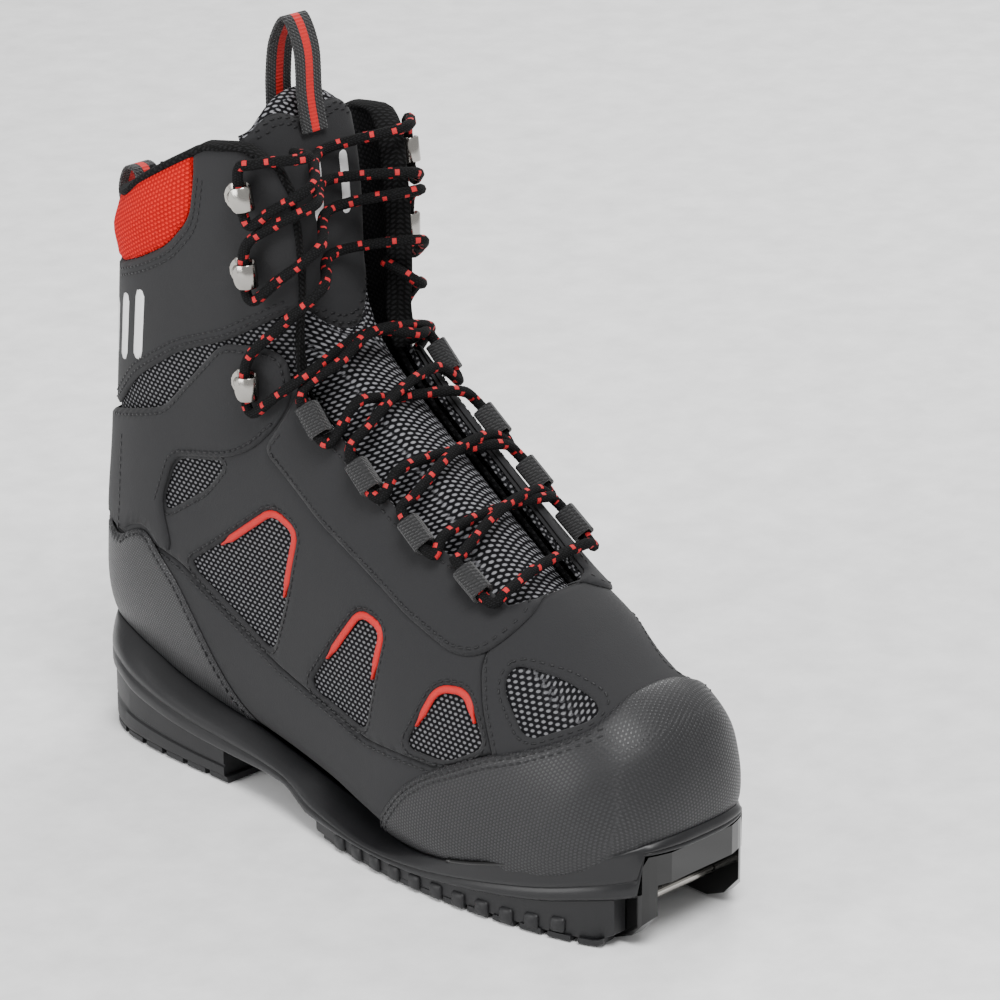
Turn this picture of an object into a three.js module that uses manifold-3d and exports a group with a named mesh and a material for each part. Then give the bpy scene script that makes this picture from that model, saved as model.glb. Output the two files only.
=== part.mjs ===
// Cross country touring boot, right foot, laced up, with a toe bar for a ski binding.
// Millimetres. +Z is up, the toe points to -Y, the outer (lateral) side is -X and the inner (medial) side +X.
// The origin is on the ground, under the middle of the boot's bounding box.
import * as THREE from 'three';
import Module from 'manifold-3d';
import { mergeVertices, toCreasedNormals } from 'three/addons/utils/BufferGeometryUtils.js';

const wasm = await Module();
wasm.setup();

// ---------------------------------------------------------------- driving dimensions

const GAP = 0.3;                      // clearance between touching pieces

// Layers of the upper, as offsets from its reference surface: [inner face, outer face].
const LAYERS = {
  lining: [-8, -6],
  stiffener: [-5.7, -4.5],
  mesh: [-4.2, -1.9],
  panel: [-1.6, -0.2],
  overlay: [0.1, 1.5],
};

// The upper is lofted through sections that fan from the toe, over the instep, and up the shaft.
// top: [y, z] of the ridge; bottom: [y, z] of the underfoot or heel line; lateral, medial: half widths;
// widest: where the section is widest, from bottom (0) to top (1); base, crown: superellipse powers of the
// lower half and of the upper half, the latter as [lateral, medial].
const SECTIONS = [
  { top: [-108, 19], bottom: [-98, 17.5], lateral: 8, medial: 8, widest: 0.5, crown: [2, 2], base: 2 },
  { top: [-132, 27], bottom: [-99, 17.5], lateral: 34, medial: 31, widest: 0.3, crown: [2.4, 2.4], base: 3 },
  { top: [-145, 35], bottom: [-98, 18.5], lateral: 42.5, medial: 38, widest: 0.16, crown: [2.4, 2.5], base: 4 },
  { top: [-149.5, 43], bottom: [-96, 20], lateral: 45, medial: 40.5, widest: 0.12, crown: [2.4, 2.5], base: 4 },
  { top: [-150, 53], bottom: [-94, 19], lateral: 46, medial: 41.5, widest: 0.14, crown: [2.4, 2.5], base: 4 },
  { top: [-147.5, 64], bottom: [-91, 18], lateral: 46.5, medial: 43, widest: 0.16, crown: [2.4, 2.5], base: 4 },
  { top: [-142, 75], bottom: [-88, 17], lateral: 47, medial: 44.5, widest: 0.19, crown: [2.4, 2.5], base: 4 },
  { top: [-132, 84], bottom: [-84, 15], lateral: 47.5, medial: 46, widest: 0.22, crown: [2.3, 2.4], base: 4 },
  { top: [-118, 91], bottom: [-79, 13], lateral: 48.5, medial: 47.5, widest: 0.24, crown: [2.2, 2.3], base: 4 },
  { top: [-103, 99], bottom: [-72, 11], lateral: 49.5, medial: 49.5, widest: 0.25, crown: [2.15, 2.3], base: 4 },
  { top: [-88, 108], bottom: [-63, 9.5], lateral: 50, medial: 50, widest: 0.25, crown: [2.1, 2.35], base: 4 },
  { top: [-70, 118], bottom: [-50, 8.5], lateral: 49.5, medial: 48, widest: 0.25, crown: [2.05, 2.5], base: 4 },
  { top: [-48, 132], bottom: [-34, 8.5], lateral: 47.5, medial: 45, widest: 0.25, crown: [2.05, 2.8], base: 4 },
  { top: [-26, 147], bottom: [-14, 10], lateral: 44, medial: 42.5, widest: 0.26, crown: [2.1, 3.1], base: 3.6 },
  { top: [-6, 161], bottom: [12, 13], lateral: 40.5, medial: 40.5, widest: 0.3, crown: [2.3, 3.4], base: 3.2 },
  { top: [9, 173], bottom: [52, 17], lateral: 38, medial: 39, widest: 0.36, crown: [2.6, 3.6], base: 2.8 },
  { top: [17, 184], bottom: [105, 22], lateral: 37, medial: 38, widest: 0.42, crown: [2.9, 3.7], base: 2.5 },
  { top: [19, 195], bottom: [146, 38], lateral: 37, medial: 37.5, widest: 0.47, crown: [3.2, 3.8], base: 2.3 },
  { top: [18.5, 208], bottom: [151, 74], lateral: 37.5, medial: 37.5, widest: 0.5, crown: [3.4, 3.8], base: 2.2 },
  { top: [19.5, 222], bottom: [146.5, 112], lateral: 38, medial: 38, widest: 0.5, crown: [3.6, 3.8], base: 2.2 },
  { top: [21.5, 237], bottom: [142.5, 148], lateral: 39, medial: 39, widest: 0.5, crown: [3.6, 3.8], base: 2.2 },
  { top: [25, 252], bottom: [139, 184], lateral: 40, medial: 40, widest: 0.5, crown: [3.6, 3.8], base: 2.2 },
  { top: [31, 268], bottom: [134.5, 220], lateral: 41, medial: 41, widest: 0.5, crown: [3.6, 3.8], base: 2.2 },
  { top: [37, 284], bottom: [131, 246], lateral: 42, medial: 42, widest: 0.5, crown: [3.6, 3.8], base: 2.2 },
];

const SOLE_CLEAR = 1.8;               // offset of the cupped sole's inner wall from the reference surface
const CUP_RISE = 4.2;                 // the cup's floor above the underfoot line
// The tongue lies deeper than the lining, and swells by bulge in the middle, where the laces cross it.
const TONGUE = {
  from: 9.8, to: 22.5, halfTurn: [0.105, 0.125], flare: 0.018, skin: [-9.1, -10.2], bulge: 3.6, pad: [4, 7],
};
// Over the ankle the tongue steps back from the reference surface, by this much in Y.
const TONGUE_BACK = { from: 14.5, over: 4, by: 11.5 };
const TOE_BAR = { radius: 2.25, halfLength: 25.4, y: -135, z: 12 };
const RECESS = { halfWidth: 21.7, cheek: 27 };
const GROOVE = { inner: 13.3, outer: 21, top: 4.8 };
const LACE_RADIUS = 2.1;

// Seen from the side, as [y, z]: where the underfoot line leaves the reference surface at the toe and at the heel.
const TOE_FLOOR = [[-175, 31], [-149.5, 31], [-145, 30], [-132, 26], [-108, 17]];
const HEEL_FLOOR = [[135, 30], [146, 34], [175, 34]];

// Seen from the side, as [y, z]: the edge where the upper meets the sole, and the underside of the midsole.
const FEATHER_EDGE = [
  [156, 46], [135, 44], [114, 38.6], [100, 34], [78, 29.6], [57, 26.8], [45, 25], [17, 20], [0, 15], [-28, 10.8],
  [-64, 15.8], [-95, 23.5], [-126, 32.2], [-144, 38.5], [-156, 43.5],
];
const MIDSOLE_UNDERSIDE = [
  [156, 25], [131, 24.5], [115, 20], [91, 16], [62, 13.3], [34, 13.3], [23.5, 12.4], [13, 7.5], [5, 6.6], [-48, 6.6],
  [-73, 8.4], [-108, 12.7], [-131, 17.5], [-156, 22],
];
// Seen from below, half the sole's outline as [y, lateral x, medial x].
const SOLE_OUTLINE = [
  [152.5, 0, 0], [149.5, 12, 12], [140, 25, 25], [125, 33, 33], [105, 36, 36], [84, 37, 37], [63, 37, 36.5],
  [40, 38.5, 34], [17, 42, 34], [-5, 46.5, 37.5], [-28, 50, 43.5], [-48, 51.5, 48], [-73, 51, 49.5],
  [-95, 48.5, 48.5], [-115, 44.5, 44], [-130, 39.5, 38], [-141, 33.5, 31.5], [-148.5, 25, 23.5], [-152.2, 12, 12],
  [-152.9, 0, 0],
];

// The edge of the lacing opening on the reference surface, as [place, lateral turn, medial turn].
const THROAT = [
  [10.4, 0.475, 0.525], [10.73, 0.435, 0.56], [11.9, 0.423, 0.572], [13.05, 0.405, 0.58], [14.38, 0.398, 0.585],
  [15.78, 0.385, 0.607], [17.38, 0.392, 0.608], [19, 0.394, 0.606], [20.62, 0.395, 0.605], [21.3, 0.385, 0.615],
  [21.85, 0.355, 0.645], [22.1, 0.313, 0.687], [23, 0.313, 0.687],
];

// Seen from the side, as [y, z]: the edges of the collar and of the panels.
const COLLAR = [[45.5, 258.2], [61.6, 256], [83, 244.5], [100, 235], [114, 225.5], [134, 220.5], [160, 219]];
const PAD_EDGE = [[67.6, 262], [69, 243], [72.5, 226], [85.6, 212.6], [102, 204], [121, 196.5], [160, 192]];
const CUFF_EDGE = [
  [160, 127], [143, 130], [125.4, 138.6], [108.5, 154.7], [81, 172], [55, 182.3], [29, 197.4], [20, 204],
];
const ANKLE_PANEL = [
  [160, 127], [143, 128], [127, 135.7], [90, 147.7], [57.6, 180.8], [39.4, 183.4], [31.6, 180.3], [29.6, 171.6],
  [28.9, 162.8], [34.5, 151.8], [44.2, 142], [56.3, 135.7], [85.6, 129.3], [94.3, 108.8], [89, 88.5], [97, 88.5],
  [104, 95.6], [113.6, 93.4], [123.6, 86.8], [160, 88],
];
const HEEL_COUNTER = [
  [48, 12], [52, 24], [63, 41], [74.7, 59.3], [87.3, 76.6], [97.5, 85.9], [104, 93.6], [113.6, 91.4], [123.6, 84.4],
  [160, 86], [160, 12],
];
const TOE_CAP = [
  [-160, 10], [-30, 3], [-30, 15.7], [-33, 21.6], [-47.3, 39], [-60.4, 48.9], [-86, 62.2], [-101.8, 68],
  [-115.6, 74.4], [-124.5, 80], [-124.5, 110], [-160, 110],
];
const EYESTAY_EDGE = {
  lateral: [[18, 174], [26.5, 170], [27.9, 162.6], [33.8, 151], [39.3, 143], [9.2, 122.5],
    [-36.7, 100.8], [-61.8, 92.1], [-72.6, 93.1], [-79.9, 100.2], [-82.7, 107.4], [-80, 111.5]],
  medial: [[18, 174], [26.5, 170], [27.9, 162.6], [33.8, 151], [39.3, 143], [9.2, 126],
    [-36.7, 107], [-61.8, 99], [-72.6, 99], [-79.9, 103], [-82.7, 108], [-80, 111.5]],
};
// The lower panel's top edge, from the heel to the toe cap.
const MUDGUARD_EDGE = {
  lateral: [[85, 84.8], [61.4, 73.8], [31.6, 60.4], [13.7, 55.7], [-23, 48.8], [-57, 51.2], [-64, 51.2]],
  medial: [[85, 84.8], [50, 80], [20, 76], [-14, 78], [-45, 79], [-66, 76], [-80, 69]],
};
// Under the ankle panel, the quarter's top edge; and the seam between quarter and vamp.
const QUARTER_TOP = [
  [175, 125], [143, 128], [125, 131], [92, 142], [60, 170], [44, 176], [36, 172], [33, 166], [0, 180],
];
const VAMP_REAR = [
  [-80, 135], [-74, 92], [-80.5, 78], [-89, 64], [-91, 58], [-66, 44], [-53, 34], [-39, 18], [-36, -10],
];
// Mesh windows cut through the panels. The corners from the first to the last of edged carry a sewn red trim.
const WINDOWS = {
  lateral: {
    ankle: { outline: [[85.8, 127.8], [57.7, 133.7], [68.6, 120], [92.6, 104.1], [94.3, 108.8]] },
    rear: {
      outline: [[81.2, 86.4], [61.6, 100.4], [34, 121.5], [20, 116.2], [25.1, 88.6], [32.8, 64]],
      edged: [1, 4],
    },
    middle: {
      outline: [[12.1, 58], [1.3, 73.1], [-15.4, 96.7], [-29.1, 92.8], [-26.8, 72.9], [-23.7, 51.5]],
      edged: [1, 4],
    },
    front: {
      outline: [[-46.4, 54], [-51.5, 64.1], [-58.6, 80.5], [-72.5, 82.6], [-79.8, 72.7], [-85.6, 65], [-68.6, 55]],
      edged: [1, 4],
    },
  },
  medial: {
    ankle: { outline: [[85.8, 127.8], [57.7, 133.7], [68.6, 124], [88, 113], [94.3, 113]] },
    long: {
      outline: [[70, 89], [50, 105], [18, 118], [-2, 112], [-14, 100], [-10, 84], [20, 81], [50, 84]],
      edged: [1, 5],
    },
    small: { outline: [[-36, 86], [-50, 97], [-64, 95], [-72, 86], [-64, 82]] },
  },
};
const VAMP_WINDOW = [[-85.8, 94], [-85.5, 86], [-100.9, 71], [-122, 82], [-118, 86], [-103, 91.5]];

// Lacing: the middle of each loop and hook as [place, turn] on the reference surface.
const LOOPS = {
  lateral: [[11.38, 0.422], [12.55, 0.41], [13.8, 0.4], [15.2, 0.388]],
  medial: [[11.68, 0.595], [12.6, 0.597], [13.6, 0.598], [15.12, 0.6]],
};
const HOOKS = { lock: [17.15, 0.348], low: [19.48, 0.35], high: [20.98, 0.355] };
const LOOP = { inner: [6.2, 5.8], wall: 1.2, length: 12 };
const HOOK = { inner: 2.9, wall: 1, length: 11, foot: 9, arm: 3.5 };
const FITTING_HEIGHT = 1.9;           // loops and hooks sit this far out, just clear of the overlays

// ---------------------------------------------------------------- the reference surface

function catmullRom(a, b, c, d, t) {
  return 0.5 * (2 * b + (c - a) * t + (2 * a - 5 * b + 4 * c - d) * t * t + (3 * b - a - 3 * c + d) * t * t * t);
}

function sectionAt(place) {
  const last = SECTIONS.length - 1;
  const index = Math.min(Math.floor(place), last - 1);
  const t = place - index;
  const near = [-1, 0, 1, 2].map((step) => SECTIONS[Math.max(0, Math.min(last, index + step))]);
  const blend = (read) => catmullRom(...near.map(read), t);
  return {
    top: [blend((s) => s.top[0]), blend((s) => s.top[1])],
    bottom: [blend((s) => s.bottom[0]), blend((s) => s.bottom[1])],
    lateral: blend((s) => s.lateral),
    medial: blend((s) => s.medial),
    widest: blend((s) => s.widest),
    crown: [blend((s) => s.crown[0]), blend((s) => s.crown[1])],
    base: blend((s) => s.base),
  };
}

// turn runs once round a section: 0 is underfoot or the heel, 0.25 lateral, 0.5 the ridge, 0.75 medial.
function surfacePoint(place, turn) {
  const section = sectionAt(place);
  const angle = 2 * Math.PI * turn;
  const sine = Math.sin(angle);
  const cosine = -Math.cos(angle);
  const power = cosine > 0 ? section.crown[sine > 0 ? 0 : 1] : section.base;
  const radius = (Math.abs(sine) ** power + Math.abs(cosine) ** power) ** (-1 / power);
  const x = (sine > 0 ? -section.lateral : -section.medial) * radius * sine;
  const reach = cosine > 0 ? 1 - section.widest : section.widest;
  const rise = section.widest + reach * radius * cosine;
  const y = section.bottom[0] + (section.top[0] - section.bottom[0]) * rise;
  const z = section.bottom[1] + (section.top[1] - section.bottom[1]) * rise;
  return new THREE.Vector3(x, y, z);
}

function offsetPoint(place, turn, offset) {
  const step = 0.02;
  const last = SECTIONS.length - 1;
  const before = surfacePoint(Math.max(0, place - step), turn);
  const after = surfacePoint(Math.min(last, place + step), turn);
  const left = surfacePoint(place, turn - step / 4);
  const right = surfacePoint(place, turn + step / 4);
  const normal = after.sub(before).cross(right.sub(left)).normalize();
  return surfacePoint(place, turn).addScaledVector(normal, -offset);
}

// side runs from -1 at the tongue's lateral edge to 1 at its medial edge.
function tonguePoint(place, side, offset) {
  const along = (place - TONGUE.from) / (TONGUE.to - TONGUE.from);
  const flare = TONGUE.flare * THREE.MathUtils.smoothstep(place, 16, 19);
  const turn = 0.5 + side * (THREE.MathUtils.lerp(...TONGUE.halfTurn, along) + flare);
  const bulge = TONGUE.bulge * Math.max(0, 1 - (side / 0.72) ** 2)
    * THREE.MathUtils.smoothstep(place, 10.5, 12.5) * (1 - THREE.MathUtils.smoothstep(place, 14.5, 16.5));
  const t = THREE.MathUtils.smoothstep(place, TONGUE_BACK.from, TONGUE_BACK.from + TONGUE_BACK.over);
  return offsetPoint(place, turn, offset + bulge).add(new THREE.Vector3(0, TONGUE_BACK.by * t, 0));
}

// ---------------------------------------------------------------- solids

const BOTH = [-70, 70];
const HALF = { lateral: [-70, -GAP / 2], medial: [GAP / 2, 70] };
const ROWS = [2, 3, 4, 5.5, 7, 8.5, 10, 11.5, 13, 14, 15, 15.6, 16.2, 16.8, 17.4, 18, 19.5, 21, 22.2, 22.9];
const LOW_ROWS = ROWS.slice(0, 17);
const TURNS = Array.from({ length: 20 }, (_, i) => i / 20);

function solidFrom(positions, triangles) {
  let volume = 0;
  for (let i = 0; i < triangles.length; i += 3) {
    const [a, b, c] = [0, 1, 2].map((k) => new THREE.Vector3().fromArray(positions, 3 * triangles[i + k]));
    volume += a.dot(b.cross(c));
  }
  const facing = volume < 0 ? triangles.toReversed() : triangles;
  const mesh = new wasm.Mesh({
    numProp: 3,
    vertProperties: new Float32Array(positions),
    triVerts: new Uint32Array(facing),
  });
  return new wasm.Manifold(mesh);
}

function solidOf(geometry) {
  geometry.deleteAttribute('normal');
  geometry.deleteAttribute('uv');
  const merged = mergeVertices(geometry, 1e-4);
  return solidFrom([...merged.attributes.position.array], [...merged.index.array]);
}

// A closed slab between an outer and an inner surface, each a function of row and column.
function slab(rows, columns, outer, inner, wraps) {
  const positions = [outer, inner].flatMap((surface) => (
    rows.flatMap((row) => columns.flatMap((column) => surface(row, column).toArray()))));
  const triangles = [];
  const quad = (a, b, c, d) => triangles.push(a, b, c, a, c, d);
  const count = columns.length;
  const sheet = rows.length * count;
  const end = sheet - count;
  for (let c = 0; c < (wraps ? count : count - 1); c += 1) {
    const d = (c + 1) % count;
    for (let start = 0; start < end; start += count) {
      quad(start + c, start + count + c, start + count + d, start + d);
      quad(sheet + start + c, sheet + start + d, sheet + start + count + d, sheet + start + count + c);
    }
    quad(c, d, sheet + d, sheet + c);
    quad(end + c, sheet + end + c, sheet + end + d, end + d);
  }
  for (let start = 0; start < end && !wraps; start += count) {
    const last = start + count - 1;
    quad(start, sheet + start, sheet + start + count, start + count);
    quad(last, last + count, sheet + last + count, sheet + last);
  }
  return solidFrom(positions, triangles);
}

function shell([inner, outer]) {
  return slab(ROWS, TURNS, (p, t) => offsetPoint(p, t, outer), (p, t) => offsetPoint(p, t, inner), true);
}

// Everything inside an offset of the reference surface.
function plug(offset, rows) {
  const points = rows.flatMap((row) => TURNS.map((turn) => offsetPoint(row, turn, offset)));
  const count = TURNS.length;
  const middle = (from) => points.slice(from, from + count)
    .reduce((sum, point) => sum.add(point), new THREE.Vector3()).divideScalar(count);
  const ends = [middle(0), middle(points.length - count)];
  const triangles = [];
  for (let c = 0; c < count; c += 1) {
    const d = (c + 1) % count;
    for (let start = 0; start + count < points.length; start += count) {
      triangles.push(start + c, start + count + c, start + count + d, start + c, start + count + d, start + d);
    }
    const end = points.length - count;
    triangles.push(c, d, points.length, end + d, end + c, points.length + 1);
  }
  return solidFrom([...points, ...ends].flatMap((point) => point.toArray()), triangles);
}

function roundedShape(points, radius) {
  const corners = points.map((point) => new THREE.Vector2(...point));
  const shape = new THREE.Shape();
  corners.forEach((corner, i) => {
    const towards = (other) => {
      const distance = corner.distanceTo(other);
      return corner.clone().lerp(other, Math.min(radius, 0.45 * distance) / distance);
    };
    const start = towards(corners.at(i - 1));
    const end = towards(corners[(i + 1) % corners.length]);
    if (i === 0) {
      shape.moveTo(start.x, start.y);
    } else {
      shape.lineTo(start.x, start.y);
    }
    if (radius > 0) {
      shape.quadraticCurveTo(corner.x, corner.y, end.x, end.y);
    }
  });
  shape.closePath();
  return shape;
}

// The shape's two axes and its depth along three directions of the boot.
function extrude(shape, axes, from, to, curveSegments = 2) {
  const geometry = new THREE.ExtrudeGeometry(shape, { depth: to - from, bevelEnabled: false, curveSegments });
  geometry.translate(0, 0, from);
  geometry.applyMatrix4(new THREE.Matrix4().makeBasis(...axes));
  return solidOf(geometry);
}

const X = new THREE.Vector3(1, 0, 0);
const Y = new THREE.Vector3(0, 1, 0);
const Z = new THREE.Vector3(0, 0, 1);

// An outline seen from the side, in [y, z], carried across the boot from one x to another.
function sidePrism(points, [from, to], radius = 0) {
  return extrude(roundedShape(points, radius), [Y, Z, X], from, to);
}

// The line moved to its right, so that a region beside it grows or shrinks.
function shifted(line, distance) {
  return line.map(([y, z], i) => {
    const [y0, z0] = line[Math.max(0, i - 1)];
    const [y1, z1] = line[Math.min(line.length - 1, i + 1)];
    const length = Math.hypot(y1 - y0, z1 - z0);
    return [y + distance * (z1 - z0) / length, z - distance * (y1 - y0) / length];
  });
}

const join = (solids) => solids.reduce((sum, solid) => sum.add(solid));
const cut = (solid, ...tools) => tools.reduce((rest, tool) => rest.subtract(tool), solid);

// ---------------------------------------------------------------- regions of the upper, seen from the side

const FAR_ABOVE = [[185, 330], [20, 330], [20, 262]];

// The lacing opening, with its edges moved outwards by a margin in turns, over some of its rows.
function throatRoom(edges, margin) {
  const columns = [0, 0.25, 0.5, 0.75, 1];
  const at = (offset) => (edge, t) => (
    offsetPoint(edge[0], THREE.MathUtils.lerp(edge[1] - margin, edge[2] + margin, t), offset));
  return slab(edges, columns, at(5), at(-13), false);
}

const openings = throatRoom(THROAT, 0).add(sidePrism([...COLLAR, ...FAR_ABOVE], BOTH));
const BINDING = { width: 3, margin: 0.0105, from: 5, top: [...COLLAR.slice(0, 2), [67, 253.1]] };
const bindingZone = (scale) => throatRoom(THROAT.slice(BINDING.from), BINDING.margin * scale)
  .add(sidePrism([...BINDING.top, ...shifted(BINDING.top, BINDING.width * scale).reverse()], BOTH));
const bindingRoom = bindingZone(1 + GAP / BINDING.width);

const underfoot = [...TOE_FLOOR, ...ROWS.slice(1, 13).map((row) => sectionAt(row).bottom), ...HEEL_FLOOR];
const belowFoot = (rise) => sidePrism(
  [...underfoot.map(([y, z]) => [y, z + rise]), [175, -20], [-175, -20]], BOTH);
const mudguardRegion = (side, grow) => sidePrism(
  [...shifted([[180, 80], [100, 88], ...MUDGUARD_EDGE[side], [-110, 74]], grow), [-110, -20], [180, -20]],
  HALF[side]);
const vampRegion = (grow) => sidePrism([...shifted(VAMP_REAR, -grow), [-180, -10], [-180, 135]], BOTH);
const quarterRegion = (side) => sidePrism([...QUARTER_TOP, [-140, 180], [-140, -20], [180, -20]], HALF[side]);
const cuffRegion = (side) => sidePrism([...CUFF_EDGE, [-20, 215], [-20, 330], [180, 330]], HALF[side]);
const padRegion = (grow) => sidePrism([...shifted(PAD_EDGE, grow), [180, 192], [180, 330], [67.6, 330]], BOTH);
const inFront = (y) => sidePrism([[y, -20], [y, 130], [-180, 130], [-180, -20]], BOTH);
const windowHole = (side, { outline }) => sidePrism(outline, HALF[side], 3);

// A strip that runs just inside part of a window's edge.
function trimStrip(side, { outline, edged }) {
  const centre = outline.reduce(
    ([y, z], point) => [y + point[0] / outline.length, z + point[1] / outline.length], [0, 0]);
  const inset = (distance) => outline.slice(edged[0], edged[1] + 1).map(([y, z]) => {
    const t = distance / Math.hypot(centre[0] - y, centre[1] - z);
    return [y + t * (centre[0] - y), z + t * (centre[1] - z)];
  });
  return sidePrism([...inset(1.5), ...inset(3.8).reverse()], HALF[side]);
}

// ---------------------------------------------------------------- materials and the assembly

const COLOURS = {
  nubuck: [0x333335, 0.85, 0],
  embossed: [0x262628, 0.6, 0],
  mesh: [0x55565a, 0.9, 0],
  red: [0xd8262b, 0.85, 0],
  textile: [0x1d1d1f, 0.95, 0],
  foam: [0x3a3a3c, 0.95, 0],
  board: [0x8a7a60, 0.9, 0],
  rubber: [0x202022, 0.6, 0],
  gloss: [0x0c0c0d, 0.15, 0],
  steel: [0xb8b6b0, 0.35, 1],
};

const boot = new THREE.Group();

function addGeometry(name, colour, geometry, group = boot) {
  const [color, roughness, metalness] = COLOURS[colour];
  const mesh = new THREE.Mesh(geometry, new THREE.MeshStandardMaterial({ color, roughness, metalness }));
  mesh.name = name;
  group.add(mesh);
  return mesh;
}

function addSolid(name, colour, solid) {
  const mesh = solid.getMesh();
  const geometry = new THREE.BufferGeometry();
  geometry.setAttribute('position', new THREE.Float32BufferAttribute(mesh.vertProperties, 3));
  geometry.setIndex([...mesh.triVerts]);
  return addGeometry(name, colour, toCreasedNormals(geometry, 0.6));
}

// ---------------------------------------------------------------- layers of the upper

const SIDES = ['lateral', 'medial'];

function addUpper() {
  const trimmed = (layer, rise = CUP_RISE + GAP) => cut(shell(layer), openings, bindingRoom, belowFoot(rise));

  addSolid('lining', 'textile', cut(shell(LAYERS.lining), openings, bindingRoom));
  const stiffener = trimmed(LAYERS.stiffener);
  addSolid('toe_puff', 'board', stiffener.intersect(inFront(-106)));
  addSolid('heel_stiffener', 'board', cut(stiffener, belowFoot(6.5)).intersect(
    sidePrism([[70, 0], [62, 45], [96, 92], [180, 96], [180, 0]], BOTH, 3)));
  addSolid('collar_foam', 'foam', stiffener.intersect(padRegion(-1.5)));

  const mesh = trimmed(LAYERS.mesh);
  addSolid('mesh_vamp', 'mesh', mesh.intersect(inFront(-60)));
  const rear = mesh.subtract(inFront(-60 + GAP));
  const upper = sidePrism([[-130, 168], [180, 128], [180, 330], [-130, 330]], BOTH);
  const upperRoom = sidePrism([[-130, 168 - GAP], [180, 128 - GAP], [180, 330], [-130, 330]], BOTH);
  addSolid('mesh_cuff', 'mesh', rear.intersect(upper));
  addSolid('mesh_quarter', 'mesh', rear.subtract(upperRoom));

  const panel = trimmed(LAYERS.panel);
  addSolid('vamp', 'nubuck', cut(panel.intersect(vampRegion(0)), windowHole('lateral', { outline: VAMP_WINDOW }),
    windowHole('medial', { outline: VAMP_WINDOW })));
  addSolid('collar_pad', 'red', trimmed([-1.6, 0.6]).intersect(padRegion(0)));
  for (const side of SIDES) {
    const windows = Object.values(WINDOWS[side]);
    addSolid(`quarter_${side}`, 'nubuck', cut(panel.intersect(quarterRegion(side)), vampRegion(GAP),
      mudguardRegion(side, GAP), ...windows.map((window) => windowHole(side, window))));
    addSolid(`mudguard_${side}`, 'nubuck', cut(panel.intersect(mudguardRegion(side, 0)), vampRegion(GAP)));
    addSolid(`cuff_${side}`, 'nubuck', cut(panel.intersect(cuffRegion(side)), padRegion(GAP)));
    for (const [name, window] of Object.entries(WINDOWS[side]).filter(([, value]) => value.edged)) {
      addSolid(`window_trim_${side}_${name}`, 'red', panel.intersect(trimStrip(side, window)));
    }
  }

  const overlay = trimmed(LAYERS.overlay);
  addSolid('toe_cap', 'embossed', overlay.intersect(sidePrism(TOE_CAP, BOTH, 3)));
  addSolid('heel_counter', 'embossed', overlay.intersect(sidePrism(HEEL_COUNTER, BOTH, 3)));
  for (const side of SIDES) {
    const eyestay = [...EYESTAY_EDGE[side], [-90, 135], [-40, 180], [0, 200]];
    addSolid(`eyestay_${side}`, 'nubuck', overlay.intersect(sidePrism(eyestay, HALF[side])));
    addSolid(`ankle_panel_${side}`, 'nubuck', overlay.intersect(sidePrism(ANKLE_PANEL, HALF[side], 2)));
    addSolid(`collar_binding_${side}`, 'textile', cut(shell([-8, 0.8]), openings, padRegion(GAP))
      .intersect(bindingZone(1)).intersect(sidePrism([[-20, 169], [66.4, 169], [66.4, 330], [-20, 330]], HALF[side])));
  }
}

// ---------------------------------------------------------------- sole

function soleOutline(inset) {
  const lateral = SOLE_OUTLINE.map(([y, x]) => [-Math.max(0, x - inset), y]);
  const medial = SOLE_OUTLINE.slice(1, -1).reverse().map(([y, , x]) => [Math.max(0, x - inset), y]);
  return extrude(roundedShape([...lateral, ...medial], 3), [X, Y, Z], -10, 80);
}

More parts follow.
